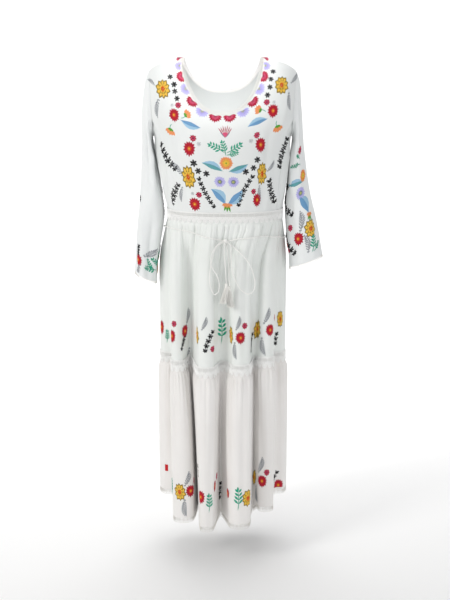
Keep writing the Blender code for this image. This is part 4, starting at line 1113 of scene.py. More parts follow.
def scallop_repeat(pitch, high):
    """Threads of a deep crochet band: a ladder, a net, an eyelet and a fan with small picots."""
    level = [0.0, -0.09 * high, -0.40 * high, -0.50 * high]
    lines = [[(0, v), (pitch, v)] for v in level[:3]]
    for k in range(4):
        x = pitch * (k + 0.5) / 4
        lines.append([(x, level[0]), (x, level[1])])
    zigzag = [(pitch * k / 8, level[1] if k % 2 else level[2]) for k in range(9)]
    lines.append(zigzag)
    lines.append([(x, level[1] + level[2] - y) for x, y in zigzag])
    middle = (pitch / 2, level[2])
    deep = high * 0.58
    lines.append(arc(middle, pitch / 2, 180, 360, 12, deep / (pitch / 2)))
    lines.append(arc(middle, pitch * 0.36, 180, 360, 9, deep * 0.74 / (pitch * 0.36)))
    lines.append(arc(middle, pitch * 0.17, 180, 360, 6, deep * 0.40 / (pitch * 0.17)))
    for angle in (202, 226, 250, 270, 290, 314, 338):
        outer = arc(middle, pitch / 2, angle, angle, 1, deep / (pitch / 2))[0]
        inner = arc(middle, pitch * 0.17, angle, angle, 1, deep * 0.40 / (pitch * 0.17))[0]
        lines.append([inner, outer])
        if angle in (226, 250, 270, 290, 314):
            lines.append(arc(outer, 0.0010, 0, 300, 5))
    return lines


def edging_repeat(pitch, high):
    """Threads of a narrow edging: a line, a net of two rows and small scallops."""
    rows = [0.0, -0.34 * high, -0.64 * high]
    lines = [[(0, rows[0]), (pitch, rows[0])], [(0, rows[1]), (pitch, rows[1])]]
    for top, low in ((rows[0], rows[1]), (rows[1], rows[2])):
        lines.append([(pitch * k / 4, low if k % 2 else top) for k in range(5)])
        lines.append([(pitch * k / 4, top if k % 2 else low) for k in range(5)])
    for x in (pitch / 4, pitch * 3 / 4):
        lines.append(arc((x, rows[2]), pitch / 4, 180, 360, 7, 0.36 * high / (pitch / 4)))
    return lines


def eyelet_repeat(pitch, high):
    """Threads of a narrow edging with a row of round eyelets over small scallops."""
    lines = [[(0, 0), (pitch, 0)], [(0, -0.18 * high), (pitch, -0.18 * high)]]
    middle = (pitch / 2, -0.48 * high)
    lines.append(arc(middle, 0.30 * pitch, 0, 360, 9, 0.28 * high / (0.30 * pitch)))
    lines.append(arc((pitch / 2, -0.55 * high), pitch / 2, 180, 360, 9, 0.9 * high / pitch))
    lines.append([(0, -0.18 * high), (0, -0.55 * high)])
    return lines


def thread_mesh(lines):
    """Open and closed lines of threads as a mesh of edges."""
    points, edges = [], []
    for line in lines:
        start = len(points)
        points += [(float(x), 0.0, float(y)) for x, y in line]
        edges += [(start + k, start + k + 1) for k in range(len(line) - 1)]
    mesh = bpy.data.meshes.new("threads")
    mesh.from_pydata(points, edges, [])
    return mesh


def lace_tree():
    """Repeats the threads of one motif along X and gives each thread its thickness."""
    tree, given = new_tree(
        "lace repeat",
        (
            ("Repeats", "Int", 10), ("Pitch", "Float", 0.016), ("Thread", "Float", 0.0006),
            ("Sides", "Int", 4),
        ),
    )
    made, _ = makers(tree)
    threads = made("GeometryNodeMeshToCurve", {"Mesh": given["Geometry"]})
    size = {"Resolution": given["Sides"], "Radius": given["Thread"]}
    profile = made("GeometryNodeCurvePrimitiveCircle", size)
    tubes = swept(tree, threads, profile)
    step = made("ShaderNodeCombineXYZ", {"X": given["Pitch"]})
    places = made("GeometryNodeMeshLine", {"Count": given["Repeats"], "Offset": step})
    repeats = made("GeometryNodeInstanceOnPoints", {"Points": places, "Instance": tubes})
    end_tree(tree, given, repeats)
    return tree


class Band:
    """A strip that lies along a line on the dress: at(share, v) is a point v below its top."""

    def __init__(self, at, last):
        self.at = at
        shares = np.linspace(0.0, last, BAND_STEPS)
        line = at(shares, np.zeros_like(shares))
        steps = np.linalg.norm(np.diff(line, axis=0), axis=1)
        self.shares, self.along = shares, np.concatenate([[0], np.cumsum(steps)])
        self.long = self.along[-1]

    def laid(self, flat, out):
        """Flat points (along, out of the plane, up) carried onto the band."""
        u, w, v = flat.T
        share = np.interp(u, self.along, self.shares)
        here = self.at(share, v)
        across = self.at(share + 0.0006, v) - self.at(share - 0.0006, v)
        down = self.at(share, v - 0.0004) - self.at(share, v + 0.0004)
        return here + unit(np.cross(down, across)) * (w + out)[..., None]


def lace_band(name, band, repeat, pitch, high, thread, out, tree, material):
    """A band of lace: the node tree's flat strip of repeats, carried onto the dress."""
    count = round(band.long / pitch)
    pitch = band.long / count
    values = {"Repeats": count, "Pitch": pitch, "Thread": thread, "Material": material}
    mesh = from_tree(thread_mesh(repeat(pitch, high)), tree, values)
    moved(mesh, band.laid(points_of(mesh), out))
    mesh.materials.clear()
    return placed(name, mesh, [material])


def lace_ground(band, pitch, high, out):
    """The dense cotton net behind the threads of a deep band, with a scalloped lower edge."""
    count = round(band.long / pitch)
    across = np.linspace(0, band.long, count * GROUND_COLUMNS, endpoint=False)[None]
    place = np.mod(across * count / band.long, 1.0) * 2 - 1
    deep = high * (0.42 + 0.53 * np.sqrt(np.clip(1 - place**2, 0, 1)))
    rows = np.linspace(0, 1, GROUND_ROWS)[:, None]
    flat = stacked(across + 0 * rows, 0 * rows, -deep * rows)
    points = band.laid(flat.reshape(-1, 3), out).reshape(flat.shape)
    return points, grid_normals(points, True)


def waist_band():
    def at(share, v):
        down = WAIST_DOWN - WAIST_LACE_ABOVE - v
        above = torso_at(share, np.minimum(down, WAIST_DOWN), pleated=False)
        fall = np.clip(down - WAIST_DOWN, 0, None) / tier_long(share)
        return np.where((down <= WAIST_DOWN)[..., None], above, tier_at(share, fall))

    return Band(at, 2.0)


def tier_band():
    def at(share, v):
        below = -v - TIER_LACE_ABOVE
        above = tier_at(share, 1 + np.minimum(below, 0) / tier_long(share))
        under = flounce_at(share, np.clip(below, 0, None) / flounce_long(share))
        return np.where((below <= 0)[..., None], above, under)

    return Band(at, 2.0)


def hem_band():
    def at(share, v):
        hem = flounce_at(share, 1.0)
        way = hem - flounce_at(share, 1 - 0.10 / flounce_long(share))
        way[..., :2] *= HEM_LACE_FLARE
        return hem + unit(way) * (SEAM_GAP - v)[..., None]

    return Band(at, 2.0)


def neck_band():
    """The neckline walked round: share 0 to 1 is the front from right to left, 1 to 2 the back."""

    def at(share, v):
        share = np.mod(share, 2.0)
        angle = np.where(share <= 1, (2 * share - 1), (3 - 2 * share)) * math.pi / 2
        lace = SEAM_GAP - v
        front = torso_point(-1, *neckline(-1, angle, lace), pleated=False)
        back = torso_point(1, *neckline(1, angle, lace), pleated=False)
        return np.where((share <= 1)[..., None], front, back)

    return Band(at, 2.0)


def cuff_band(surface):
    def at(turn, v):
        cuff = surface.at(turn, 1.0)
        way = unit(cuff - surface.at(turn, 0.985))
        return cuff + way * (SEAM_GAP - v)[..., None]

    return Band(at, 1.0)


# The cord and its tassels


def cord_tree():
    """A cord of twisted plies along a curve: a lobed section that turns as it goes."""
    tree, given = new_tree(
        "twisted cord",
        (
            ("Thickness", "Float", CORD_THICK), ("Plies", "Float", 3.0), ("Ply depth", "Float", 0.13),
            ("Twist pitch", "Float", 0.011), ("Point spacing", "Float", 0.0010),
            ("Section points", "Int", 12),
        ),
    )
    made, maths = makers(tree)
    curve = {"Curve": given["Geometry"]}
    smooth = made("GeometryNodeCurveSplineType", curve, spline_type="CATMULL_ROM")
    spaced = {"Curve": smooth, "Length": given["Point spacing"]}
    fine = made("GeometryNodeResampleCurve", spaced, mode="LENGTH")
    along = add_node(tree, "GeometryNodeSplineParameter").outputs["Length"]
    tilt = maths("MULTIPLY", maths("DIVIDE", along, given["Twist pitch"]), 2 * math.pi)
    twisted = made("GeometryNodeSetCurveTilt", {"Curve": fine, "Tilt": tilt})
    half = maths("MULTIPLY", given["Thickness"], 0.5)
    size = {"Resolution": given["Section points"], "Radius": half}
    circle = made("GeometryNodeCurvePrimitiveCircle", size)
    share = maths("DIVIDE", made("GeometryNodeInputIndex"), given["Section points"])
    wave = maths("COSINE", maths("MULTIPLY", maths("MULTIPLY", share, given["Plies"]), 2 * math.pi))
    reach = maths("MULTIPLY_ADD", maths("SUBTRACT", wave, 1.0), given["Ply depth"], 1.0)
    scaled = {0: made("GeometryNodeInputPosition"), "Scale": reach}
    lobed = made("ShaderNodeVectorMath", scaled, operation="SCALE")
    profile = made("GeometryNodeSetPosition", {"Geometry": circle, "Position": lobed})
    end_tree(tree, given, swept(tree, twisted, profile))
    return tree


def route_curve(points):
    curve = bpy.data.curves.new("route", "CURVE")
    curve.dimensions = "3D"
    line = curve.splines.new("POLY")
    line.points.add(len(points) - 1)
    for point, place in zip(line.points, points):
        point.co = (*place, 1.0)
    return curve


def tassel_tree():
    """A skirt of fine strands that hang from a head and spread below it."""
    tree, given = new_tree(
        "tassel strands",
        (
            ("Strands", "Int", 150), ("Root radius", "Float", 0.0034), ("Length", "Float", 0.050),
            ("Spread", "Float", 2.0), ("Lean", "Float", 0.0), ("Flatness", "Float", 0.62),
            ("Strand radius", "Float", 0.00042), ("Seed", "Int", 1),
        ),
    )
    made, maths = makers(tree)
    number = made("GeometryNodeInputIndex")
    filled = maths("DIVIDE", maths("ADD", number, 0.5), given["Strands"])
    radius = maths("MULTIPLY", maths("SQRT", filled), given["Root radius"])
    golden = maths("MULTIPLY", number, GOLDEN_ANGLE)
    x = maths("MULTIPLY", radius, maths("COSINE", golden))
    y = maths("MULTIPLY", radius, maths("SINE", golden))
    line = made("GeometryNodeMeshLine", {"Count": given["Strands"]})
    root = made("ShaderNodeCombineXYZ", {"X": x, "Y": y})
    roots = made("GeometryNodeSetPosition", {"Geometry": line, "Position": root})
    strand = made("GeometryNodeCurvePrimitiveLine", {"Start": (0, 0, 0), "End": (0, 0, -1)})
    fine = made("GeometryNodeResampleCurve", {"Curve": strand, "Count": 9}, mode="COUNT")
    ends = {2: 0.90, 3: 1.04, "Seed": given["Seed"]}
    uneven = add_node(tree, "FunctionNodeRandomValue", ends, data_type="FLOAT").outputs[1]
    long = maths("MULTIPLY", uneven, given["Length"])
    size = made("ShaderNodeCombineXYZ", {"X": 1.0, "Y": 1.0, "Z": long})
    hung = made("GeometryNodeInstanceOnPoints", {"Points": roots, "Instance": fine, "Scale": size})
    real = made("GeometryNodeRealizeInstances", {"Geometry": hung})
    bent = {"Geometry": real, "Position": spread_strands(tree, given)}
    paths = made("GeometryNodeSetPosition", bent)
    size = {"Resolution": 3, "Radius": given["Strand radius"]}
    end_tree(tree, given, swept(tree, paths, made("GeometryNodeCurvePrimitiveCircle", size)))
    return tree


def spread_strands(tree, given):
    """Where the points of hanging strands go: wider, leaning and straying more as they go down."""
    made, maths = makers(tree)
    place = made("GeometryNodeInputPosition")
    x, y, z = add_node(tree, "ShaderNodeSeparateXYZ", {0: place}).outputs
    depth = maths("DIVIDE", maths("MULTIPLY", z, -1.0), given["Length"])
    depth = maths("MAXIMUM", depth, 0.0)
    wider = maths("MULTIPLY_ADD", maths("POWER", depth, 0.7), given["Spread"], 1.0)
    close = {0: place, 1: (900.0, 900.0, 40.0)}
    inputs = {"Scale": 1.0, "Detail": 1.0}
    inputs["Vector"] = made("ShaderNodeVectorMath", close, operation="MULTIPLY")
    colour = add_node(tree, "ShaderNodeTexNoise", inputs).outputs["Color"]
    wild = made("ShaderNodeVectorMath", {0: colour, 1: (0.5, 0.5, 0.5)}, operation="SUBTRACT")
    strayed = {0: wild, "Scale": maths("MULTIPLY", depth, 0.008)}
    stray = made("ShaderNodeVectorMath", strayed, operation="SCALE")
    lean = maths("MULTIPLY", maths("POWER", depth, 1.5), given["Lean"])
    flat = maths("MULTIPLY", maths("MULTIPLY", y, wider), given["Flatness"])
    across = maths("MULTIPLY_ADD", x, wider, lean)
    spread = made("ShaderNodeCombineXYZ", {"X": across, "Y": flat, "Z": z})
    return made("ShaderNodeVectorMath", {0: spread, 1: stray}, operation="ADD")


def turned_mesh(name, profile, centre, sides):
    """A closed form turned about an upright axis. Profile rows are radius and height, top first."""
    angles = np.linspace(0, 2 * math.pi, sides, endpoint=False)
    flat = stacked(np.cos(angles), np.sin(angles), np.zeros(sides))
    rings = [centre + radius * flat + (0, 0, height) for radius, height in profile[1:-1]]
    tips = [(centre[0], centre[1], centre[2] + profile[k][1]) for k in (0, -1)]
    points = np.concatenate(rings + [np.array(tips)])
    top, low, last = len(points) - 2, len(points) - 1, (len(rings) - 1) * sides
    faces = []
    for k in range(sides):
        n = (k + 1) % sides
        faces += [(top, k, n), (low, last + n, last + k)]
        faces += [(a + k, a + sides + k, a + sides + n, a + n) for a in range(0, last, sides)]
    mesh = bpy.data.meshes.new(name)
    mesh.from_pydata(points.tolist(), [], faces)
    mesh.update()
    return mesh


def joined(name, meshes, materials):
    """Several plain meshes as one object."""
    points, faces, base = [], [], 0
    for mesh in meshes:
        points.append(points_of(mesh))
        faces += [[base + v for v in face.vertices] for face in mesh.polygons]
        base += len(mesh.vertices)
    whole = bpy.data.meshes.new(name)
    whole.from_pydata(np.concatenate(points).tolist(), [], faces)
    whole.update()
    return placed(name, whole, materials)


# Embroidery: flat motifs of raised satin stitch, carried onto the cloth


def stitched(line, widths, high, colour):
    """A patch of satin stitch along a line: domed across, closed beneath, pointed at both ends."""
    line = np.array(line, float)
    way = unit(np.gradient(line, axis=0))[1:-1]
    side = stacked(way[:, 1], -way[:, 0])
    middle, wide = line[1:-1], np.resize(widths, len(line) - 2)[:, None]
    raised = high * np.sqrt(wide[:, 0] / wide.max())
    sunk = np.full(len(middle), -STITCH_SUNK)
    flat = [stacked(*(middle - side * wide).T, sunk), stacked(*middle.T, raised)]
    flat.append(stacked(*(middle + side * wide).T, sunk))
    body = np.stack(flat, axis=1).reshape(-1, 3)
    tips = [np.append(line[k], -STITCH_SUNK) for k in (0, -1)]
    last = 3 * len(middle)
    faces = [(0, 2, 1), (0, 3, 2), (0, 1, 3)]
    for k in range(1, last - 3, 3):
        faces += [(k, k + 1, k + 4, k + 3), (k + 1, k + 2, k + 5, k + 4), (k, k + 3, k + 5, k + 2)]
    faces += [(last - 2, last - 1, last + 1), (last - 1, last, last + 1), (last - 2, last + 1, last)]
    return np.vstack([tips[0], body, tips[1]]), faces, colour


def spoke(angle, inner, outer, wide, high, colour, at=(0.0, 0.0)):
    """A petal from one radius to another. The angle runs anticlockwise from straight up."""
    a = math.radians(angle)
    line = [
        (at[0] - r * math.sin(a), at[1] + r * math.cos(a)) for r in np.linspace(inner, outer, 5)
    ]
    return stitched(line, (0.55 * wide, wide, 0.75 * wide), high, colour)


def fan(count, inner, outer, wide, high, colour, start=0.0, sweep=360.0, at=(0.0, 0.0)):
    """Petals side by side round a point, with slightly uneven ends."""
    step = sweep / count
    first = start + (step / 2 if sweep < 360 else 0)
    ends = [outer * (0.95 + 0.025 * (k * 7 % 5)) for k in range(count)]
    highs = [high * (1 + 0.14 * (k % 2)) for k in range(count)]
    return [
        spoke(first + step * k, inner, ends[k], wide, highs[k], colour, at) for k in range(count)
    ]


def button(radius, high, colour):
    """A small round dome."""
    angles = np.arange(9) * math.tau / 9
    ring = stacked(radius * np.cos(angles), radius * np.sin(angles), -STITCH_SUNK)
    inner = stacked(0.6 * radius * np.cos(angles), 0.6 * radius * np.sin(angles), 0.85 * high)
    faces = [(k, (k + 1) % 9, 9 + (k + 1) % 9, 9 + k) for k in range(9)]
    faces += [(9 + k, 9 + (k + 1) % 9, 18) for k in range(9)] + [tuple(range(8, -1, -1))]
    return np.vstack([ring, inner, [(0.0, 0.0, high)]]), faces, colour


def bowed(start, end, bow, count=7):
    """A line from start to end that swings out by bow to its right."""
    t = np.linspace(0, 1, count)[:, None]
    start, end = np.array(start), np.array(end)
    way = end - start
    return start + way * t + np.array([way[1], -way[0]]) * bow * 4 * t * (1 - t)


def half_flower(outline, petal, heart):
    """The rounds of a flower that is cut off flat below."""
    return (
        (9, 0.06, 0.60, 0.100, 0.0005, outline, -94, 188),
        (8, 0.02, 0.42, 0.060, 0.0009, petal, -88, 176),
        (5, 0.02, 0.24, 0.035, 0.0013, heart, -80, 160),
    )


# Rounds of petals, the lowest first: how many petals (0 for one button), inner end, outer end and
# half width as shares of the flower's size, height in metres and colour. A turn in degrees and the
# sweep of the round may follow
FLOWERS = {
    "small": (
        (8, 0.10, 0.64, 0.17, 0.0005, "crimson"), (8, 0.06, 0.42, 0.10, 0.0009, "pink", 20),
        (0, 0, 0.17, 0, 0.0012, "wine"),
    ),
    "daisy": (
        (14, 0.12, 0.57, 0.100, 0.0005, "crimson"), (14, 0.12, 0.44, 0.060, 0.0009, "red", 12),
        (9, 0.02, 0.22, 0.060, 0.0013, "orange"), (0, 0, 0.10, 0, 0.0016, "gold"),
    ),
    "lilac": (
        (16, 0.12, 0.50, 0.080, 0.0007, "lilac"), (12, 0.06, 0.24, 0.045, 0.0010, "mist", 10),
        (0, 0, 0.12, 0, 0.0013, "lime"),
    ),
    "marigold": (
        (16, 0.20, 0.50, 0.095, 0.0007, "peach"), (0, 0, 0.33, 0, 0.0009, "gold"),
        (12, 0.14, 0.31, 0.022, 0.0014, "orange"), (0, 0, 0.08, 0, 0.0015, "green"),
    ),
    "dahlia": (
        (10, 0.08, 0.52, 0.150, 0.0004, "olive"), (10, 0.08, 0.48, 0.116, 0.0009, "gold"),
        (9, 0.05, 0.34, 0.112, 0.0012, "olive", 18), (9, 0.05, 0.31, 0.084, 0.0016, "gold", 18),
        (7, 0.01, 0.20, 0.060, 0.0020, "orange", 5),
    ),
    "tulip": (
        (5, 0.05, 0.62, 0.15, 0.0009, "peach", -75, 150),
        (3, 0.20, 0.95, 0.10, 0.0012, "green", -30, 60),
    ),
    "thistle": (
        (7, 0.30, 0.98, 0.035, 0.0008, "crimson", -38, 76),
        (5, 0.06, 0.50, 0.070, 0.0009, "pink", -28, 56),
        (2, 0.0, 0.62, 0.045, 0.0007, "mist", -75, 150),
    ),
    "half": half_flower("crimson", "pink", "wine"),
    "pale_half": half_flower("lilac", "mauve", "lime"),
    "star": ((6, 0.0, 0.64, 0.16, 0.0009, "black", 12),),
    "tiny": ((8, 0.02, 0.5, 0.05, 0.0006, "grey"),),
}


def flower(rounds, s):
    """A flower of size s from its rounds of petals and buttons."""
    patches = []
    for count, inner, outer, wide, high, colour, *turned in rounds:
        if count:
            patches += fan(count, inner * s, outer * s, wide * s, high, colour, *turned)
        else:
            patches.append(button(outer * s, high, colour))
    return patches


def leaf(s, light, dark):
    """A bent leaf in two tones, one on each side of its midrib."""
    patches = []
    for side, colour in ((-1, dark), (1, light)):
        line = bowed((0, 0), (0, 1.08 * s), 0.10 + 0.065 * side)
        wide = s * np.array((0.06, 0.11, 0.13, 0.10, 0.05))
        patches.append(stitched(line, wide, 0.0008 - 0.0001 * side, colour))
    return patches + [stitched(bowed((0, -0.08 * s), (0, s), 0.10), 0.014 * s, 0.0012, dark)]


def hatched_leaf(s):
    """A pale leaf of separate slanting stitches along a midrib."""
    s = 1.45 * s
    patches = [stitched(bowed((0, 0), (0, s), 0.10), 0.014 * s, 0.0006, "grey")]
    for k in range(9):
        t = (k + 0.6) / 9
        root = (0.40 * s * t * (1 - t), s * t)
        long = s * (0.23 * math.sin(math.pi * t**0.8) + 0.02)
        for side in (-38, 38):
            patches.append(spoke(side, 0.0, long, 0.032 * s, 0.0006, "grey", root))
    return patches


def vine(s):
    """A dark stem with crowded pointed leaves that grow smaller towards both ends."""
    patches = [stitched(bowed((0, 0), (0, s), 0.05), 0.0009, 0.0008, "black")]
    count = max(3, round(s / 0.0142))
    for k in range(count):
        t = (k + 0.5) / count
        root = (0.20 * s * t * (1 - t), s * t)
        long = 0.0068 + 0.0028 * math.sin(math.pi * t) ** 0.7
        for turn in (-128, -66, -14, 44, 104) if k % 2 else (-104, -44, 14, 66, 128):
            patches.append(spoke(turn, 0.0002, long, 0.0023, 0.0009, "black", root))
    return patches


def sprig(s):
    """A small branch with pairs of rounded leaves and one at its end."""
    patches = [stitched(bowed((0, 0), (0, 0.86 * s), 0.05), 0.0011, 0.0008, "teal")]
    for k in range(4):
        t = 0.30 + 0.17 * k
        root = (0.17 * s * t * (1 - t), s * t)
        for turn in (-48, 48):
            long = s * (0.30 - 0.03 * k)
            patches.append(spoke(turn, 0.0, long, 0.050 * s, 0.0009, "teal", root))
    return patches + [spoke(0, 0.80 * s, 1.06 * s, 0.050 * s, 0.0009, "teal")]


def bud(s):
    patches = [stitched(bowed((0, 0), (0, 0.62 * s), 0.16), 0.0009, 0.0007, "teal")]
    patches += fan(5, 0.02 * s, 0.62 * s, 0.15 * s, 0.0009, "peach", -56, 112, (0, 0.50 * s))
    return patches + fan(3, 0.0, 0.34 * s, 0.12 * s, 0.0013, "green", -58, 116, (0, 0.44 * s))


MOTIFS = {
    "blue_leaf": lambda s: leaf(s, "blue", "deep_blue"),
    "teal_leaf": lambda s: leaf(s, "blue", "sea"),
    "grey_leaf": hatched_leaf,
    "vine": vine,
    "sprig": sprig,
    "bud": bud,
    "side_label": lambda s: [
        stitched([(0, s * v) for v in (-0.5, -0.49, 0.49, 0.5)], 0.23 * s, 0.0006, "red")
    ],
}
MOTIFS.update({name: functools.partial(flower, rounds) for name, rounds in FLOWERS.items()})


class Chart:
    """The p and q of points across and up from a place, measured along the cloth."""

    def __init__(self, surface, p, q):
        offsets = np.linspace(-0.35, 0.35, 141)
        self.p, self.q = p + offsets, q - offsets
        self.across = self.measured(surface.base(self.p, np.full(141, q)))
        self.up = self.measured(surface.base(np.full(141, p), self.q))

    @staticmethod
    def measured(points):
        along = np.concatenate([[0], np.cumsum(np.linalg.norm(np.diff(points, axis=0), axis=1))])
        return along - along[70]

    def at(self, x, y):
        return np.interp(x, self.across, self.p), np.interp(y, self.up, self.q)


def embroidered(name, surface, rows, lowest, highest, floss):
    """The motifs of one surface as one piece. Rows are motif, p, q, size, squeeze and turn."""
    places, uvs, faces, colours, base = [], [], [], [], 0
    for motif, p, q, size, squeeze, turn in rows:
        chart, a = Chart(surface, p, q), math.radians(turn)
        for points, shape, colour in MOTIFS[motif](size):
            x, y = points[:, 0] * squeeze, points[:, 1]
            x, y = x * math.cos(a) - y * math.sin(a), x * math.sin(a) + y * math.cos(a)
            places.append(stacked(*chart.at(x, y), points[:, 2]))
            uvs.append(points[:, :2])
            faces += [tuple(base + v for v in face) for face in shape]
            colours += [colour] * len(shape)
            base += len(points)
    p, q, high = np.concatenate(places).T
    on, normals = surface.both(p, np.clip(q, lowest, highest))
    mesh = bpy.data.meshes.new(name)
    mesh.from_pydata((on + normals * (high + STITCH_LIFT)[:, None]).tolist(), [], faces)
    names = list(floss)
    mesh.polygons.foreach_set("material_index", [names.index(c) for c in colours])
    corners = np.zeros(len(mesh.loops), int)
    mesh.loops.foreach_get("vertex_index", corners)
    layer = mesh.uv_layers.new(name="stitches")
    layer.data.foreach_set("uv", np.concatenate(uvs)[corners].ravel())
    mesh.update()
    return placed(name, mesh, floss.values())


# Motif, p, q, size in metres, squeeze across, and turn anticlockwise from straight up
BODICE_MOTIFS = (
    ("dahlia", 0.25, 0.084, 0.057, 0.74, 6), ("dahlia", 0.749, 0.074, 0.055, 0.74, -6),
    ("grey_leaf", 0.2, 0.077, 0.027, 1, 61), ("grey_leaf", 0.229, 0.109, 0.038, 1, 169),
    ("grey_leaf", 0.806, 0.071, 0.033, 1, -41), ("grey_leaf", 0.793, 0.091, 0.036, 1, -170),
    ("star", 0.289, 0.052, 0.015, 1, 1), ("star", 0.31, 0.072, 0.016, 1, 11),
    ("star", 0.314, 0.09, 0.014, 1, 0), ("star", 0.324, 0.109, 0.014, 1, 20),
    ("star", 0.703, 0.038, 0.015, 1, -2), ("star", 0.691, 0.058, 0.014, 1, 9),
    ("star", 0.686, 0.079, 0.014, 1, 0), ("star", 0.674, 0.1, 0.014, 1, 20),
    ("tiny", 0.299, 0.127, 0.011, 1, -2), ("tiny", 0.707, 0.119, 0.011, 1, 1),
    ("small", 0.329, 0.127, 0.015, 1, -2), ("small", 0.671, 0.119, 0.015, 1, 1),
    ("daisy", 0.306, 0.153, 0.035, 0.8, -4), ("daisy", 0.704, 0.142, 0.035, 0.85, 3),
    ("bud", 0.336, 0.161, 0.03, 1, -62), ("bud", 0.283, 0.177, 0.033, 1, 149),
    ("bud", 0.669, 0.145, 0.03, 1, 73), ("bud", 0.734, 0.168, 0.033, 1, -156),
    ("blue_leaf", 0.337, 0.166, 0.052, 1, -112), ("blue_leaf", 0.679, 0.164, 0.052, 1, 112),
    ("thistle", 0.509, 0.213, 0.035, 1, 1), ("sprig", 0.51, 0.261, 0.043, 1, 14),
    ("sprig", 0.507, 0.253, 0.051, 1, 61), ("sprig", 0.511, 0.253, 0.051, 1, -59),
    ("sprig", 0.511, 0.258, 0.035, 1, -79), ("marigold", 0.511, 0.28, 0.037, 1, -1),
    ("teal_leaf", 0.496, 0.302, 0.054, 1, 67), ("teal_leaf", 0.521, 0.302, 0.052, 1, -70),
    ("lilac", 0.486, 0.331, 0.033, 1, -3), ("lilac", 0.539, 0.332, 0.033, 1, -1),
    ("blue_leaf", 0.501, 0.394, 0.052, 1.3, 39), ("blue_leaf", 0.513, 0.394, 0.052, 1.3, -44),
    ("tulip", 0.51, 0.391, 0.028, 1, 178), ("small", 0.377, 0.214, 0.016, 1, -9),
    ("small", 0.646, 0.206, 0.016, 0.9, 13), ("daisy", 0.354, 0.242, 0.038, 0.84, -5),
    ("daisy", 0.671, 0.232, 0.038, 0.76, 5), ("tiny", 0.403, 0.229, 0.014, 1, -4),
    ("tiny", 0.62, 0.221, 0.014, 1, 5), ("vine", 0.157, 0.228, 0.091, 1.7, -146),
    ("vine", 0.894, 0.214, 0.095, 1.9, 158), ("dahlia", 0.334, 0.32, 0.068, 0.6, 1),
    ("dahlia", 0.686, 0.311, 0.066, 0.46, -1), ("grey_leaf", 0.301, 0.321, 0.036, 1, 41),
    ("grey_leaf", 0.714, 0.307, 0.027, 1, -37), ("grey_leaf", 0.29, 0.346, 0.033, 0.8, 166),
    ("grey_leaf", 0.674, 0.34, 0.033, 0.8, 189), ("star", 0.371, 0.281, 0.018, 1, -6),
    ("star", 0.39, 0.302, 0.016, 1, 9), ("star", 0.429, 0.309, 0.016, 1, -5),
    ("star", 0.656, 0.272, 0.016, 1, 3), ("star", 0.636, 0.294, 0.015, 1, 17),
    ("star", 0.597, 0.304, 0.016, 1, 0), ("vine", 0.387, 0.316, 0.101, 1, -156),
    ("vine", 0.641, 0.311, 0.104, 1, 154), ("vine", 0.271, 0.338, 0.08, 1.3, 147),
    ("vine", 0.733, 0.324, 0.08, 1.4, -156), ("small", 0.381, 0.369, 0.015, 1, -6),
    ("small", 0.641, 0.36, 0.015, 0.8, 3), ("daisy", 0.35, 0.396, 0.037, 0.86, -7),
    ("daisy", 0.664, 0.384, 0.037, 0.62, 2), ("tiny", 0.346, 0.366, 0.011, 1, -7),
)
LEFT_SLEEVE_MOTIFS = (
    ("small", 0.818, 0.355, 0.019, 0.7, -2), ("sprig", 0.822, 0.437, 0.039, 0.8, 71),
    ("sprig", 0.81, 0.405, 0.028, 0.8, 37), ("marigold", 0.842, 0.509, 0.036, 0.6, -6),
    ("teal_leaf", 0.83, 0.543, 0.051, 1, 79), ("star", 0.582, 0.525, 0.017, 1, 4),
    ("lilac", 0.782, 0.595, 0.037, 0.8, -5), ("blue_leaf", 0.83, 0.721, 0.057, 1.2, 19),
    ("vine", 0.46, 0.569, 0.089, 1.4, -136), ("tulip", 0.844, 0.723, 0.025, 0.7, 169),
    ("dahlia", 0.826, 0.814, 0.054, 0.66, -4), ("grey_leaf", 0.72, 0.82, 0.043, 1, -9),
    ("small", 0.608, 0.778, 0.017, 0.8, -4), ("daisy", 0.694, 0.846, 0.036, 0.9, -6),
    ("sprig", 0.808, 0.944, 0.049, 1, -12), ("sprig", 0.82, 0.94, 0.034, 1, -52),
    ("vine", 0.484, 0.808, 0.078, 1.4, -145), ("small", 0.538, 0.896, 0.014, 0.8, -4),
    ("daisy", 0.494, 0.864, 0.026, 0.5, -4), ("grey_leaf", 0.77, 0.946, 0.04, 1, 4),
)
RIGHT_SLEEVE_MOTIFS = (
    ("star", 0.09, 0.611, 0.017, 0.6, 3), ("vine", 0.154, 0.838, 0.032, 1, 179),
    ("grey_leaf", 0.208, 0.882, 0.04, 1, -46), ("daisy", 0.162, 0.908, 0.032, 0.7, 3),
    ("sprig", 0.454, 0.916, 0.052, 1, 1), ("sprig", 0.44, 0.904, 0.038, 1, 59),
    ("sprig", 0.414, 0.926, 0.044, 1, 96), ("sprig", 0.352, 0.936, 0.035, 1, 31),
    ("dahlia", 0.514, 0.922, 0.041, 0.4, 2), ("grey_leaf", 0.196, 0.918, 0.04, 0.9, 168),
)
